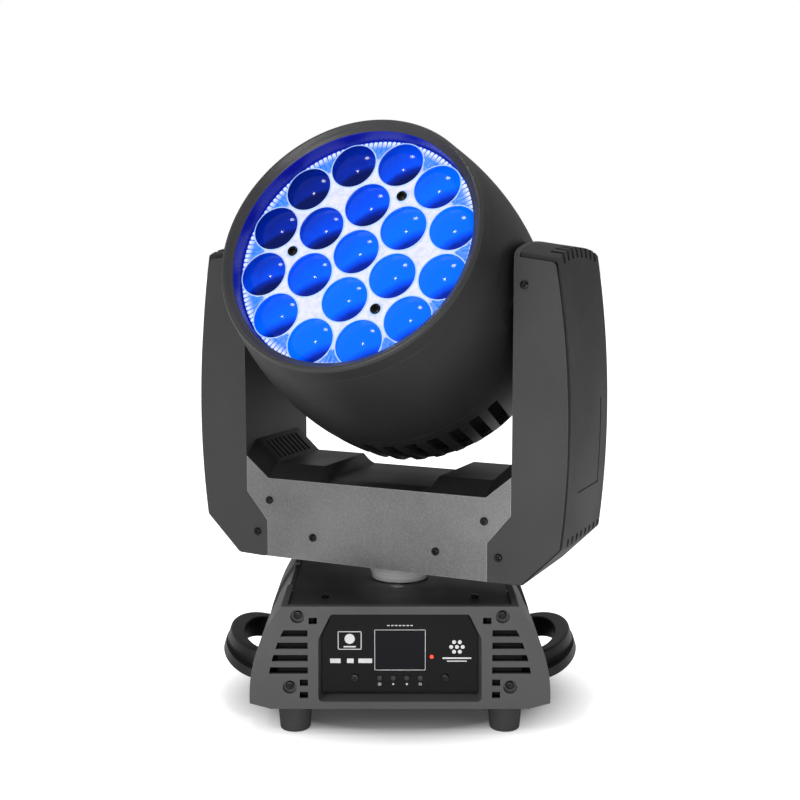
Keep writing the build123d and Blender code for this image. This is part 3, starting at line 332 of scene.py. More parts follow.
def hubMetal(name):
    # bright turned alloy, half diffuse so that the narrow gap under the yoke stays light
    material, tree, shader = startMaterial(name)
    shader.inputs["Metallic"].default_value = 0.35
    lines = placeGroup(tree, linesGroup, Stretch=(30.0, 30.0, 1400.0))
    colour = mixColour(tree, rangeNode(tree, lines.outputs["Streak"], 0.0, 1.0), (0.80, 0.80, 0.80),
                       (0.98, 0.98, 0.98))
    tree.links.new(colour, shader.inputs["Base Color"])
    tree.links.new(rangeNode(tree, lines.outputs["Streak"], 0.14, 0.30), shader.inputs["Roughness"])
    tree.links.new(bumpNode(tree, lines.outputs["Height"], 0.2, 0.0001), shader.inputs["Normal"])
    return material


def sheetPaint(name, dark, light):
    # grey metal paint on the crossbar's sheet, with a fine sparkling grain
    material, tree, shader = startMaterial(name)
    shader.inputs["Metallic"].default_value = 0.6
    skin = placeGroup(tree, grainGroup, Scale=900.0)
    skin.inputs["Cloud Scale"].default_value = 11.0
    edges = placeGroup(tree, wearAndHighlightGroup, Radius=0.0012)
    place = tree.nodes.new("ShaderNodeTexCoord").outputs["Object"]
    flake = noiseNode(tree, place, 700.0, 3.0, 0.75)
    smear = noiseNode(tree, place, 60.0, 6.0, 0.7)
    colour = mixColour(tree, rangeNode(tree, skin.outputs["Cloud"], 0.0, 1.0, 0.25, 0.75), dark, light)
    colour = mixColour(tree, rangeNode(tree, flake, 0.0, 0.35, 0.45, 0.75), colour, (0.42, 0.42, 0.42))
    colour = mixColour(tree, rangeNode(tree, smear, 0.0, 0.3, 0.5, 0.8), colour, dark)
    # lighter edges: real wear together with a painted edge highlight
    colour = mixColour(tree, edges.outputs["Mask"], colour, (0.6, 0.6, 0.6))
    tree.links.new(colour, shader.inputs["Base Color"])
    tree.links.new(rangeNode(tree, flake, 0.34, 0.5), shader.inputs["Roughness"])
    tree.links.new(bumpNode(tree, skin.outputs["Height"], 0.3, 0.0002), shader.inputs["Normal"])
    return material


def glossPlastic(name, colour, roughness=(0.08, 0.16)):
    material, tree, shader = startMaterial(name)
    skin = placeGroup(tree, grainGroup, Scale=300.0)
    shader.inputs["Specular IOR Level"].default_value = 0.2
    tint = mixColour(tree, rangeNode(tree, skin.outputs["Cloud"], 0.0, 1.0), colour,
                     tuple(channel * 1.6 for channel in colour))
    tree.links.new(tint, shader.inputs["Base Color"])
    tree.links.new(rangeNode(tree, skin.outputs["Cloud"], *roughness), shader.inputs["Roughness"])
    return material


def glowing(name, colour, strength, roughness=0.4):
    material, tree, shader = startMaterial(name)
    skin = placeGroup(tree, grainGroup, Scale=500.0)
    tint = mixColour(tree, rangeNode(tree, skin.outputs["Cloud"], 0.0, 1.0), colour,
                     tuple(min(1.0, channel * 1.25) for channel in colour))
    tree.links.new(tint, shader.inputs["Base Color"])
    tree.links.new(tint, shader.inputs["Emission Color"])
    shader.inputs["Emission Strength"].default_value = strength
    shader.inputs["Roughness"].default_value = roughness
    return material


finishes = {
    "bezel": mouldedPlastic("bezelPlastic", (0.058, 0.058, 0.060), (0.068, 0.068, 0.070), grain=1100.0),
    "dark": mouldedPlastic("darkPlastic", (0.008, 0.008, 0.009), (0.014, 0.014, 0.015), (0.36, 0.5)),
    "arm": mouldedPlastic("armPlastic", (0.036, 0.036, 0.037), (0.044, 0.044, 0.045),
                          (0.42, 0.54), 900.0, 0.4, 1.0),
    "cover": mouldedPlastic("coverPlastic", (0.010, 0.010, 0.0105), (0.015, 0.015, 0.0155),
                            (0.42, 0.54), 900.0, 0.4),
    "crossbar": sheetPaint("crossbarPaint", (0.12, 0.12, 0.12), (0.21, 0.21, 0.21)),
    "head": mouldedPlastic("headPlastic", (0.012, 0.012, 0.0125), (0.017, 0.017, 0.0175),
                           (0.38, 0.48), 900.0, 0.3),
    "rim": mouldedPlastic("rimPlastic", (0.030, 0.030, 0.031), (0.042, 0.042, 0.042),
                          (0.30, 0.42), 900.0, 0.3, 0.9),
    "rubber": mouldedPlastic("footRubber", (0.030, 0.030, 0.031), (0.042, 0.042, 0.043),
                             (0.6, 0.8), 700.0, 0.5),
    "panel": glossPlastic("panelGloss", (0.003, 0.003, 0.0035)),
    "screen": glossPlastic("screenGlass", (0.002, 0.002, 0.004), (0.03, 0.07)),
    "button": mouldedPlastic("buttonPlastic", (0.02, 0.02, 0.02), (0.03, 0.03, 0.03), (0.3, 0.4)),
    "hub": hubMetal("turnedHub"),
    "dullMetal": platedMetal("dullAluminium", (0.5, 0.5, 0.51), (0.62, 0.62, 0.63), (0.3, 0.45)),
    "steel": platedMetal("groundSteel", (0.5, 0.5, 0.5), (0.66, 0.66, 0.66), (0.2, 0.34)),
    "screw": platedMetal("blackScrew", (0.020, 0.020, 0.021), (0.04, 0.04, 0.04), (0.14, 0.26)),
    "powder": mouldedPlastic("powderCoat", (0.016, 0.016, 0.017), (0.024, 0.024, 0.025),
                             (0.5, 0.62), 800.0, 0.6),
    "motor": mouldedPlastic("motorPaint", (0.02, 0.02, 0.02), (0.035, 0.035, 0.035), (0.4, 0.5)),
    "belt": mouldedPlastic("beltRubber", (0.015, 0.015, 0.015), (0.025, 0.025, 0.025), (0.7, 0.85)),
    "board": mouldedPlastic("solderMask", (0.004, 0.04, 0.014), (0.006, 0.05, 0.02), (0.3, 0.4), 500.0),
    "socket": mouldedPlastic("socketPlastic", (0.008, 0.008, 0.010), (0.014, 0.014, 0.017), (0.35, 0.5)),
    "foam": mouldedPlastic("filterFoam", (0.003, 0.003, 0.003), (0.008, 0.008, 0.008),
                           (0.9, 1.0), 260.0, 1.0, 0.0),
    "print": mouldedPlastic("whitePrint", (0.62, 0.62, 0.62), (0.78, 0.78, 0.78),
                            (0.4, 0.5), 900.0, 0.1, 0.0),
    "lamp": glowing("redLamp", (0.9, 0.03, 0.015), 2.5),
}
print("finishes built:", len(finishes))

nodeFinish = {
    "bezel": ["front_bezel", "rear_bezel"],
    "dark": ["crossbar_cover", "handle_left", "handle_right", "top_plate", "side_cover_left",
             "side_cover_right"],
    "socket": ["power_sockets", "data_sockets", "fuse_holder", "fan_frame", "fan_rotor"],
    "arm": ["arm_shell_left", "arm_shell_right"],
    "cover": ["arm_cover_left", "arm_cover_right"],
    "crossbar": ["crossbar_front", "crossbar_rear"],
    "head": ["front_shell", "rear_shell", "rear_grille"],
    "rim": ["front_ring"],
    "rubber": ["feet"],
    "panel": ["control_panel"],
    "screen": ["display_screen"],
    "button": ["button_1", "button_2", "button_3", "button_4"],
    "lamp": ["status_led"],
    "hub": ["pan_hub"],
    "dullMetal": ["pan_gear", "tilt_gear", "heat_sink", "pan_pinion", "tilt_pinion", "carriage_posts",
                  "power_supply"],
    "steel": ["pan_bearing", "tilt_bearings", "tilt_shafts", "zoom_screw"],
    "screw": ["base_screws", "yoke_screws", "lens_screws"],
    "powder": ["bottom_plate", "crossbar_tray", "yoke_frame", "tilt_brackets", "connector_plate"],
    "motor": ["pan_motor", "tilt_motor", "zoom_motor"],
    "belt": ["pan_belt", "tilt_belt"],
    "board": ["main_board", "led_board"],
}
bodyOf = {name: body for body, names in frame["record"]["behaviour"]["bodies"].items() for name in names}
for finish, names in nodeFinish.items():
    for name in names:
        nodes[name].data.materials.clear()
        nodes[name].data.materials.append(finishes[finish])


# ---- softened copies of the outer shells ---------------------------------------------
softEdges = {  # bevel width of each shell, metres
    "front_bezel": 0.0005, "rear_bezel": 0.0005, "side_cover_left": 0.0005, "side_cover_right": 0.0005,
    "top_plate": 0.0004, "control_panel": 0.0003, "display_screen": 0.0003, "handle_left": 0.0006,
    "handle_right": 0.0006, "arm_shell_left": 0.0008, "arm_shell_right": 0.0008, "arm_cover_left": 0.0006,
    "arm_cover_right": 0.0006, "crossbar_front": 0.0006, "crossbar_rear": 0.0006, "crossbar_cover": 0.0008,
    "front_shell": 0.0005, "rear_shell": 0.0007, "rear_grille": 0.0005, "feet": 0.0006, "pan_hub": 0.0005,
    "connector_plate": 0.0004, "power_sockets": 0.0004, "data_sockets": 0.0004,
}


# faces with many openings bevel cleanly only as triangles
keepTriangles = ("front_bezel", "rear_bezel", "crossbar_cover", "rear_grille")


def softCopy(name, width):
    piece = nodes[name].copy()
    piece.data = nodes[name].data.copy()
    piece.parent = None
    bpy.context.collection.objects.link(piece)
    words = name.split("_")
    piece.name = words[0] + "".join(word.title() for word in words[1:])
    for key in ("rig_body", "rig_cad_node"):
        if key in piece:
            del piece[key]
    pick(piece)
    bpy.ops.object.mode_set(mode="EDIT")
    bpy.ops.mesh.select_all(action="SELECT")
    bpy.ops.mesh.remove_doubles(threshold=0.000002)
    if name not in keepTriangles:
        bpy.ops.mesh.dissolve_limited(angle_limit=radians(0.5))
    bpy.ops.object.mode_set(mode="OBJECT")
    applyModifier(piece, "BEVEL", width=width, segments=2, limit_method="ANGLE", angle_limit=radians(32),
                  use_clamp_overlap=True, miter_outer="MITER_ARC")
    applyModifier(piece, "TRIANGULATE")
    bpy.ops.object.shade_smooth_by_angle(angle=radians(38))
    applyModifier(piece, "WEIGHTED_NORMAL", keep_sharp=True)
    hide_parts(name)
    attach(piece, bodyOf[name])
    return piece


for name, width in softEdges.items():
    softCopy(name, width)
print("shells softened:", len(softEdges))

# ---- screws ----------------------------------------------------------------------------
screwSizes = {"radius": 0.0037, "height": 0.002, "cross": 0.0042, "slit": 0.0010, "depth": 0.0012}


def crossScrew():
    # pan head with a cross recess, head towards +Z from the origin
    deselectAll()
    bpy.ops.mesh.primitive_cylinder_add(vertices=40, radius=screwSizes["radius"], depth=screwSizes["height"],
                                        location=(0, 0, screwSizes["height"] / 2))
    screw = bpy.context.object
    bpy.ops.object.transform_apply(location=True)
    selectFaces(screw, lambda face: face.normal.z > 0.9)
    bpy.ops.mesh.bevel(offset=0.0009, segments=4, affect="EDGES")
    bpy.ops.object.mode_set(mode="OBJECT")
    for turn in (0.0, pi / 2):
        deselectAll()
        bpy.ops.mesh.primitive_cube_add(size=1, location=(0, 0, screwSizes["height"]))
        slit = bpy.context.object
        slit.scale = (screwSizes["cross"], screwSizes["slit"], 2 * screwSizes["depth"])
        slit.rotation_euler = (0, 0, turn)
        bpy.ops.object.transform_apply(location=True, rotation=True, scale=True)
        applyModifier(screw, "BOOLEAN", operation="DIFFERENCE", object=slit, solver="EXACT")
        bpy.data.objects.remove(slit)
    screw.data.materials.clear()
    screw.data.materials.append(finishes["screw"])
    return screw


screwModel = crossScrew()


def screwSet(name, node, spots, grow=1.0):
    # spots: a place and the way the head looks, each screw turned a little differently
    heads = []
    for number, (place, way) in enumerate(spots):
        head = screwModel.copy()
        head.data = screwModel.data.copy()
        bpy.context.collection.objects.link(head)
        aim = Vector(way).to_track_quat("Z", "Y").to_matrix().to_4x4()
        spin = Matrix.Rotation(0.7 * number + 0.3, 4, "Z")
        head.matrix_world = Matrix.Translation(place) @ aim @ spin @ Matrix.Scale(grow, 4)
        heads.append(head)
    joined = joinAll(heads, name)
    settle(joined)
    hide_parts(node)
    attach(joined, bodyOf[node])
    return joined


baseSpots = {"well": (0.0915, 0.111), "lowWell": (0.0989, 0.0459), "deck": (0.069, 0.073), "panel": 0.041}
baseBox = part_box("front_bezel")
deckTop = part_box("top_plate")[1].z
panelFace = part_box("control_panel")[0].y
wellDepth = 0.0055
baseScrews = []
for way in (-1, 1):
    wellFloor = way * (abs(baseBox[0].y) - wellDepth)
    for x, z in (baseSpots["well"], baseSpots["lowWell"]):
        for side in (-1, 1):
            baseScrews.append(((side * x, wellFloor, z), (0, way, 0)))
    for side in (-1, 1):
        baseScrews.append(((side * baseSpots["deck"][0], way * baseSpots["deck"][1], deckTop), (0, 0, 1)))
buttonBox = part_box("button_1")
buttonZ = (buttonBox[0].z + buttonBox[1].z) / 2
for side in (-1, 1):
    baseScrews.append(((side * baseSpots["panel"], panelFace, buttonZ), (0, -1, 0)))
screwSet("baseScrews", "base_screws", baseScrews)

yokeSpots = ((0.1109, 0.1945), (0.0637, 0.162), (0.1462, 0.4055), (0.1247, 0.1625))
yokeFace = 0.060
yokeScrews = []
for x, z in yokeSpots:
    for side in (-1, 1):
        for way in (-1, 1):
            yokeScrews.append((yokePlace @ Vector((side * x, way * yokeFace, z)),
                               yokePlace.to_3x3() @ Vector((0, way, 0))))
screwSet("yokeScrews", "yoke_screws", yokeScrews)

plateTop = 0.094
postRing = 0.0642
posts = [(postRing * cos(radians(a)), postRing * sin(radians(a))) for a in (60, 180, 300)]
lensScrewSpots = [(headPlace @ Vector((x, y, plateTop)), beamAxis) for x, y in posts]
screwSet("lensScrews", "lens_screws", lensScrewSpots, 1.3)
bpy.data.objects.remove(screwModel)
print("screws placed")

# ---- front rim ---------------------------------------------------------------------------
rimSteps = [  # radius and distance along the beam of each turned step, millimetres
    (127.0, 100.0), (124.5, 112.0), (124.2, 113.4), (123.5, 114.8), (122.7, 115.6), (121.7, 116.0),
    (120.9, 116.1), (120.4, 115.7), (120.0, 115.3), (119.7, 115.0), (117.1, 112.4), (116.8, 111.9),
    (116.5, 111.7), (115.2, 110.4), (114.6, 109.8), (114.3, 109.3), (114.9, 92.0), (115.2, 70.0),
    (117.6, 70.0), (117.6, 100.0),
]


def turnedRing(name, steps, segments=192):
    # one loop is extruded and resized step by step, then the last is joined to the first
    radius, height = steps[0]
    deselectAll()
    bpy.ops.mesh.primitive_circle_add(vertices=segments, radius=radius / 1000, location=(0, 0, height / 1000))
    ring = bpy.context.object
    ring.name = name
    bpy.ops.object.transform_apply(location=True)
    bpy.ops.object.mode_set(mode="EDIT")
    bpy.ops.mesh.select_mode(type="EDGE")
    bpy.ops.mesh.select_all(action="SELECT")
    for (oldRadius, oldHeight), (newRadius, newHeight) in zip(steps, steps[1:] + steps[:1]):
        climb = (newHeight - oldHeight) / 1000
        bpy.ops.mesh.extrude_region_move(TRANSFORM_OT_translate={"value": (0, 0, climb)})
        grow = newRadius / oldRadius
        bpy.ops.transform.resize(value=(grow, grow, 1), center_override=(0, 0, newHeight / 1000))
    bpy.ops.mesh.select_all(action="SELECT")
    bpy.ops.mesh.remove_doubles(threshold=0.00001)
    bpy.ops.mesh.normals_make_consistent(inside=False)
    bpy.ops.object.mode_set(mode="OBJECT")
    return ring


rim = turnedRing("frontRim", rimSteps)
rim.data.materials.clear()
rim.data.materials.append(finishes["rim"])
# the inner wall is plain plastic: its blue glow is painted light from the lenses
rim.data.materials.append(glowing("wallPaintedLensLight", (0.0, 0.002, 0.16), 0.6, 0.45))
rim.data.materials.append(finishes["head"])
for face in rim.data.polygons:
    spot = face.center
    reach = sqrt(spot.x ** 2 + spot.y ** 2)
    # faces of the inner wall take the painted blue light
    if reach < 0.1155 and spot.z < 0.1096:
        face.material_index = 1
    elif reach > 0.1244:
        face.material_index = 2
settle(rim, headPlace, 28)
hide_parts("front_ring")
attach(rim, "head")
print("rim turned")

# ---- lit lens plate --------------------------------------------------------------------
lensSizes = {"radius": 0.0218, "dome": 0.0062, "lift": 0.0008, "barrel": 0.0045, "rings": (0.047, 0.091)}
fluteSizes = {"count": 150, "inner": 0.0965, "end": 0.1114, "half": 0.0020, "rise": 0.0009}


def lensSpots():
    spots = [(0.0, 0.0)]
    for count, ring, start in ((6, lensSizes["rings"][0], 30), (12, lensSizes["rings"][1], 15)):
        for k in range(count):
            angle = radians(start + 360 / count * k)
            spots.append((ring * cos(angle), ring * sin(angle)))
    return spots


def faceMap(piece):
    # flat map over the whole front of the head, -1 to 1 across the mouth
    layer = piece.data.uv_layers.new(name="overFace")
    for loop in piece.data.loops:
        point = piece.data.vertices[loop.vertex_index].co
        layer.data[loop.index].uv = (point.x / 0.114, point.y / 0.114)


def uvSplit(tree, name):
    uv = tree.nodes.new("ShaderNodeUVMap")
    uv.uv_map = name
    split = tree.nodes.new("ShaderNodeSeparateXYZ")
    tree.links.new(uv.outputs["UV"], split.inputs[0])
    return split.outputs["X"], split.outputs["Y"]


def rampNode(tree, value, stops):
    ramp = tree.nodes.new("ShaderNodeValToRGB")
    elements = ramp.color_ramp.elements
    elements[0].position, elements[0].color = stops[0][0], (*stops[0][1], 1.0)
    elements[1].position, elements[1].color = stops[-1][0], (*stops[-1][1], 1.0)
    for position, colour in stops[1:-1]:
        elements.new(position).color = (*colour, 1.0)
    tree.links.new(value, ramp.inputs["Fac"])
    return ramp.outputs["Color"]


def litLens():
    # blue light in a clear moulding: painted shade makes it deep navy on the far upper lenses, and a painted
    # dark crescent lies low on each
    material, tree, shader = startMaterial("litLens")
    x, y = uvSplit(tree, "across")
    faceX, faceY = uvSplit(tree, "overFace")
    place = tree.nodes.new("ShaderNodeTexCoord").outputs["Object"]
    cloudy = noiseNode(tree, place, 110.0, 4.0, 0.6)
    # painted falloff: the light darkens towards the upper left of the face
    paintedFaceFalloff = mathNode(tree, "SUBTRACT", mathNode(tree, "MULTIPLY", faceX, 0.62),
                     mathNode(tree, "MULTIPLY", faceY, 0.55))
    fall = mathNode(tree, "ADD", mathNode(tree, "MULTIPLY", x, 0.5), mathNode(tree, "MULTIPLY", y, -0.85))
    glow = mathNode(tree, "ADD", rangeNode(tree, paintedFaceFalloff, 0.0, 1.0, -0.75, 0.2),
                    mathNode(tree, "MULTIPLY", cloudy, 0.18))
    # painted shade: a dark crescent across the low side of each lens
    paintedShadeCrescent = rangeNode(tree, fall, 0.0, 0.75, 0.22, 0.42)
    glow = mathNode(tree, "SUBTRACT", glow, paintedShadeCrescent, True)
    colour = rampNode(tree, glow, [(0.0, (0.0, 0.002, 0.07)), (0.35, (0.0, 0.014, 0.32)),
                                   (0.7, (0.0, 0.075, 0.90)), (1.0, (0.0, 0.14, 1.0))])
    tree.links.new(mixColour(tree, 0.8, colour, (0.0, 0.004, 0.02)), shader.inputs["Base Color"])
    tree.links.new(colour, shader.inputs["Emission Color"])
    shader.inputs["Emission Strength"].default_value = 1.0
    shader.inputs["Specular IOR Level"].default_value = 0.22
    shader.inputs["Roughness"].default_value = 0.09
    return material


def litPlate(name, strength, edgeColour, middleColour, turn=(0.80, 0.88)):
    # one colour in the middle and one towards the mouth, with moulded streaks
    material, tree, shader = startMaterial(name)
    x, y = uvSplit(tree, "overFace")
    reach = mathNode(tree, "SQRT", mathNode(tree, "ADD", mathNode(tree, "MULTIPLY", x, x),
                                            mathNode(tree, "MULTIPLY", y, y)))
    place = tree.nodes.new("ShaderNodeTexCoord").outputs["Object"]
    streak = noiseNode(tree, place, 160.0, 5.0, 0.7)
    colour = mixColour(tree, rangeNode(tree, reach, 0.0, 1.0, *turn), middleColour, edgeColour)
    colour = mixColour(tree, rangeNode(tree, streak, 0.0, 0.55, 0.45, 0.75), colour, (0.30, 0.45, 1.0))
    tree.links.new(mixColour(tree, 0.75, colour, (0.02, 0.03, 0.08)), shader.inputs["Base Color"])
    tree.links.new(colour, shader.inputs["Emission Color"])
    shader.inputs["Emission Strength"].default_value = strength
    shader.inputs["Roughness"].default_value = 0.25
    return material


def oneLens():
    radius, dome = lensSizes["radius"], lensSizes["dome"]
    ball = (radius ** 2 + dome ** 2) / (2 * dome)
    foot = plateTop + lensSizes["lift"]
    deselectAll()
    bpy.ops.mesh.primitive_uv_sphere_add(segments=48, ring_count=72, radius=ball,
                                         location=(0, 0, foot + dome - ball))
    lens = bpy.context.object
    bpy.ops.object.transform_apply(location=True)
    bpy.ops.object.mode_set(mode="EDIT")
    bpy.ops.mesh.select_all(action="SELECT")
    bpy.ops.mesh.bisect(plane_co=(0, 0, foot), plane_no=(0, 0, 1), clear_inner=True)
    bpy.ops.mesh.extrude_region_move(TRANSFORM_OT_translate={"value": (0, 0, -lensSizes["barrel"])})
    bpy.ops.mesh.edge_face_add()
    bpy.ops.mesh.select_all(action="SELECT")
    bpy.ops.mesh.normals_make_consistent(inside=False)
    bpy.ops.object.mode_set(mode="OBJECT")
    across = lens.data.uv_layers.new(name="across")
    for loop in lens.data.loops:
        point = lens.data.vertices[loop.vertex_index].co
        across.data[loop.index].uv = (point.x / (2 * radius), point.y / (2 * radius))
    return lens


def placeOnCarriage(piece, finish, node=None):
    piece.data.materials.clear()
    piece.data.materials.append(finish)
    faceMap(piece)
    settle(piece, headPlace)
    if node:
        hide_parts(node)
    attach(piece, "lens_carriage")


lens = oneLens()
lensSet = joinAll([lens] + [copyOf(lens, (x, y, 0)) for x, y in lensSpots()[1:]], "litLenses")
placeOnCarriage(lensSet, litLens(), "lenses")

# raised collar round each lens and each screw
collarSizes = {"lensGap": 0.0004, "lensBead": 0.0008, "screwRadius": 0.0056, "screwBead": 0.0009,
               "lift": 0.0002}


def beadRing(segments, radius, bead):
    deselectAll()
    bpy.ops.mesh.primitive_torus_add(major_segments=segments, minor_segments=10, major_radius=radius,
                                     minor_radius=bead, location=(0, 0, plateTop + collarSizes["lift"]))
    return bpy.context.object


collar = beadRing(56, lensSizes["radius"] + collarSizes["lensGap"], collarSizes["lensBead"])
collars = [copyOf(collar, (x, y, 0)) for x, y in lensSpots()[1:]]
eyelet = beadRing(40, collarSizes["screwRadius"], collarSizes["screwBead"])
eyelets = [copyOf(eyelet, (x, y, 0)) for x, y in posts]
bpy.data.objects.remove(eyelet)
collarSet = joinAll([collar] + collars + eyelets, "lensCollars")
litCollar = litPlate("litCollar", 0.8, (0.40, 0.62, 1.0), (0.52, 0.68, 1.0), (0.9, 1.0))
placeOnCarriage(collarSet, litCollar)

# flutes round the plate's edge: a capsule laid along the radius
deselectAll()
bpy.ops.mesh.primitive_uv_sphere_add(segments=10, ring_count=8, radius=fluteSizes["half"],
                                     location=(fluteSizes["end"], 0, plateTop), rotation=(0, pi / 2, 0))
flute = bpy.context.object
bpy.ops.object.transform_apply(location=True, rotation=True)
selectFaces(flute, lambda face: face.center.x < fluteSizes["end"])
bpy.ops.transform.translate(value=(fluteSizes["inner"] - fluteSizes["end"], 0, 0))
bpy.ops.object.mode_set(mode="OBJECT")
flute.scale = (1, 0.95, fluteSizes["rise"] / fluteSizes["half"])
flute.location = (0, 0, plateTop * (1 - fluteSizes["rise"] / fluteSizes["half"]))
bpy.ops.object.transform_apply(location=True, scale=True)
flutes = [copyOf(flute, turn=2 * pi / fluteSizes["count"] * k) for k in range(1, fluteSizes["count"])]
fluteSet = joinAll([flute] + flutes, "plateFlutes")
litFlute = litPlate("litFlute", 0.85, (0.85, 0.92, 1.0), (0.02, 0.22, 1.0), (0.93, 0.975))
placeOnCarriage(fluteSet, litFlute)

nodes["lens_plate"].data.materials.clear()
carrier = nodes["lens_plate"].copy()
carrier.data = nodes["lens_plate"].data.copy()
carrier.parent = None
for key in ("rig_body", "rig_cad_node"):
    if key in carrier:
        del carrier[key]
bpy.context.collection.objects.link(carrier)
carrier.name = "lensCarrier"
carrier.data.transform(headPlace.inverted())
placeOnCarriage(carrier, litPlate("litCarrier", 0.78, (0.0, 0.13, 0.95), (0.80, 0.80, 1.0)),
                "lens_plate")
print("lenses and plate lit")

# ---- dust filters behind the vents --------------------------------------------------------
filterSizes = {"inner": 0.0775, "outer": 0.110, "low": 0.036, "high": 0.110, "depth": 0.0015, "face": 0.1065}
filterX = (filterSizes["inner"] + filterSizes["outer"]) / 2
filterZ = (filterSizes["low"] + filterSizes["high"]) / 2
filters = []
for way in (-1, 1):
    for side in (-1, 1):
        deselectAll()
        bpy.ops.mesh.primitive_cube_add(size=1, location=(side * filterX, way * filterSizes["face"], filterZ))
        pad = bpy.context.object
        pad.scale = (filterSizes["outer"] - filterSizes["inner"], filterSizes["depth"],
                     filterSizes["high"] - filterSizes["low"])
        bpy.ops.object.transform_apply(location=True, scale=True)
        bpy.ops.object.mode_set(mode="EDIT")
        bpy.ops.mesh.select_all(action="SELECT")
        bpy.ops.mesh.bevel(offset=0.0003, segments=1, affect="EDGES")
        bpy.ops.object.mode_set(mode="OBJECT")
        filters.append(pad)
filterSet = joinAll(filters, "ventFilters")
filterSet.data.materials.clear()
filterSet.data.materials.append(finishes["foam"])
settle(filterSet)
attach(filterSet, "base")

# ---- panel graphics ---------------------------------------------------------------------------
markSizes = {"thick": 0.00012, "frame": 0.00045}
marks = []


def markBar(x, z, width, height, turn=0.0):
    deselectAll()
    bpy.ops.mesh.primitive_cube_add(size=1, location=(x, panelFace - markSizes["thick"] / 2, z))
    bar = bpy.context.object
    bar.scale = (width, markSizes["thick"], height)
    bar.rotation_euler = (0, turn, 0)
    bpy.ops.object.transform_apply(location=True, rotation=True, scale=True)
    marks.append(bar)


def markDisc(x, z, radius, corners=24, turn=0.0):
    deselectAll()
    bpy.ops.mesh.primitive_cylinder_add(vertices=corners, radius=radius, depth=markSizes["thick"],
                                        location=(x, panelFace - markSizes["thick"] / 2, z),
                                        rotation=(pi / 2, turn, 0))
    bpy.ops.object.transform_apply(location=True, rotation=True)
    marks.append(bpy.context.object)


def markFrame(x, z, width, height, line):
    for way in (-1, 1):
        markBar(x, z + way * (height - line) / 2, width, line)
        markBar(x + way * (width - line) / 2, z, line, height)


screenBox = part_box("display_screen")
screenX, screenZ = (screenBox[0].x + screenBox[1].x) / 2, (screenBox[0].z + screenBox[1].z) / 2
screenWide, screenTall = screenBox[1].x - screenBox[0].x, screenBox[1].z - screenBox[0].z
markFrame(screenX, screenZ, screenWide + 0.0022, screenTall + 0.0022, markSizes["frame"])
for k in range(7):  # heading over the display, a row of dashes
    markBar(-0.0105 + 0.0035 * k, screenZ + screenTall / 2 + 0.0050, 0.0022, 0.0009)
labelZ = buttonZ - 0.0060
for k in range(4):  # a symbol under each button
    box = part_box(f"button_{k + 1}")
    x = (box[0].x + box[1].x) / 2
    if k == 0:
        for line in (-1, 0, 1):
            markBar(x, labelZ + 0.0009 * line, 0.0030, 0.0004)
    elif k == 3:
        markFrame(x, labelZ, 0.0026, 0.0022, 0.0004)
    else:
        markDisc(x, labelZ, 0.0014, 3, 0.0 if k == 1 else pi)
emblem = {"x": -0.0455, "z": 0.0845, "width": 0.0215, "height": 0.0170, "line": 0.0007}
markFrame(emblem["x"], emblem["z"], emblem["width"], emblem["height"], emblem["line"])
markDisc(emblem["x"], emblem["z"] + 0.0015, 0.0046, 32)  # a disc over a bar
markBar(emblem["x"], emblem["z"] - 0.0058, 0.0110, 0.0012)
for k, width in enumerate((0.0095, 0.0060, 0.0125)):
    markBar(-0.0585 + 0.0135 * k, 0.0655, width, 0.0042)
dots = {"x": 0.0515, "z": 0.0785, "ring": 0.0052, "radius": 0.0018}
for k in range(7):  # seven dots like the head's inner lenses, over two lines
    angle = pi / 3 * k
    reach = 0.0 if k == 6 else dots["ring"]
    markDisc(dots["x"] + reach * cos(angle), dots["z"] + reach * sin(angle), dots["radius"], 20)
markBar(dots["x"], dots["z"] - 0.0105, 0.0260, 0.0014)
markBar(dots["x"], dots["z"] - 0.0133, 0.0180, 0.0009)
markSet = joinAll(marks, "panelMarks")
markSet.data.materials.clear()
markSet.data.materials.append(finishes["print"])
settle(markSet)
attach(markSet, "base")
print("panel printed")

# ---- floor, light and camera -------------------------------------------------------------
studio = {"world": 0.34, "key": 17.0, "fill": 4.0, "top": 5.0, "low": 8.0, "glint": 9.0}


def softLight(name, size, power, place, target, sheen=True):
    data = bpy.data.lights.new(name, "AREA")
    data.shape = "RECTANGLE"
    data.size, data.size_y = size
    data.energy = power
    lamp = bpy.data.objects.new(name, data)
    bpy.context.collection.objects.link(lamp)
    lamp.location = place
    lamp.rotation_euler = (Vector(target) - Vector(place)).to_track_quat("-Z", "Y").to_euler()
    lamp.visible_glossy = sheen
    return lamp


softLight("keyLight", (1.2, 1.6), studio["key"], (-1.7, -1.5, 1.6), (0, 0, 0.3), False)
softLight("fillLight", (1.2, 1.6), studio["fill"], (1.6, -1.9, 1.2), (0, 0, 0.3), False)
softLight("topLight", (2.0, 1.6), studio["top"], (0.2, 0.9, 2.4), (0, 0, 0.2))
softLight("lowLight", (1.0, 0.12), studio["low"], (-0.2, -1.5, 0.14), (0, 0, 0.11))
for name, power, radius, place in (("glintLamp", studio["glint"], 0.06, (-0.66, -1.05, 1.35)),
                                   ("upperGlint", studio["glint"] * 1.5, 0.11, (-0.1, -0.45, 2.0))):
    glint = bpy.data.lights.new(name, "POINT")
    glint.energy = power
    glint.shadow_soft_size = radius
    glintLamp = bpy.data.objects.new(name, glint)
    bpy.context.collection.objects.link(glintLamp)
    glintLamp.location = place

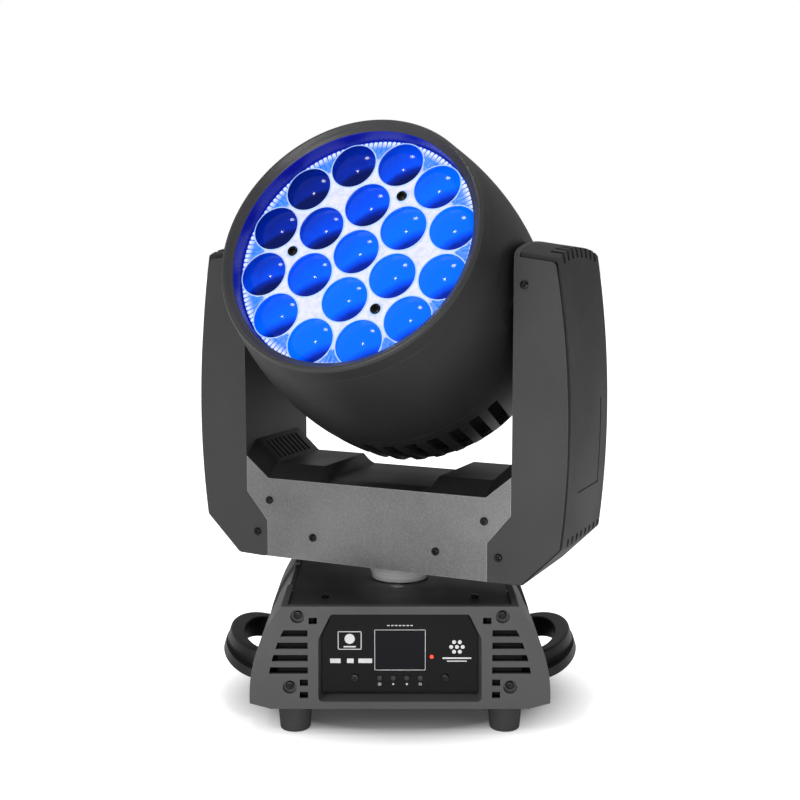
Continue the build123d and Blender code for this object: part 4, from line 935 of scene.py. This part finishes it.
world = bpy.data.worlds.new("studioWorld")
bpy.context.scene.world = world
world.use_nodes = True
sky = world.node_tree.nodes["Background"]
sky.inputs["Color"].default_value = (1, 1, 1, 1)
seen = world.node_tree.nodes.new("ShaderNodeLightPath").outputs["Is Camera Ray"]
level = world.node_tree.nodes.new("ShaderNodeMapRange")
level.inputs["To Min"].default_value = studio["world"]
level.inputs["To Max"].default_value = 1.0
world.node_tree.links.new(seen, level.inputs["Value"])
world.node_tree.links.new(level.outputs["Result"], sky.inputs["Strength"])

deselectAll()
bpy.ops.mesh.primitive_circle_add(vertices=96, radius=14, fill_type="NGON", location=(0, 0, 0))
floor = bpy.context.object
floor.name = "studioFloor"
paper, paperTree, paperShader = startMaterial("palePaper")
paperShader.inputs["Base Color"].default_value = (0.88, 0.88, 0.88, 1.0)
paperShader.inputs["Roughness"].default_value = 0.9
paperShader.inputs["Specular IOR Level"].default_value = 0.1
# painted shadow shape: the floor glows white for the camera except in an ellipse round the feet, so shade
# shows only there
narrow = paperTree.nodes.new("ShaderNodeMapping")
narrow.inputs["Scale"].default_value = (1 / 0.21, 1 / 0.165, 1.0)
paperTree.links.new(paperTree.nodes.new("ShaderNodeTexCoord").outputs["Object"], narrow.inputs["Vector"])
spot = paperTree.nodes.new("ShaderNodeVectorMath")
spot.operation = "LENGTH"
paperTree.links.new(narrow.outputs["Vector"], spot.inputs[0])
paintedShadowFade = rangeNode(paperTree, spot.outputs["Value"], 0.0, 1.0, 0.6, 1.05)
direct = paperTree.nodes.new("ShaderNodeLightPath").outputs["Is Camera Ray"]
direct = rangeNode(paperTree, direct, 0.3, 1.0, 0.0, 1.0)
paintedShadowFade = mathNode(paperTree, "MULTIPLY", paintedShadowFade, direct)
glow = mixColour(paperTree, paintedShadowFade, (0.0, 0.0, 0.0), (1.0, 1.0, 1.0))
paperTree.links.new(glow, paperShader.inputs["Emission Color"])
paperShader.inputs["Emission Strength"].default_value = 1.0
floor.data.materials.append(paper)

cameraSizes = {"lens": 58.0, "place": (0.0, -1.2295, 0.4461), "target": (0.0, 0.0, 0.2908)}
cameraData = bpy.data.cameras.new("studioCamera")
cameraData.lens = cameraSizes["lens"]
cameraData.sensor_width = 36.0
camera = bpy.data.objects.new("studioCamera", cameraData)
bpy.context.collection.objects.link(camera)
camera.location = cameraSizes["place"]
cameraAim = Vector(cameraSizes["target"]) - Vector(cameraSizes["place"])
camera.rotation_euler = cameraAim.to_track_quat("-Z", "Y").to_euler()
bpy.context.scene.camera = camera
bpy.context.scene.view_settings.view_transform = "Standard"

print("scene ready")
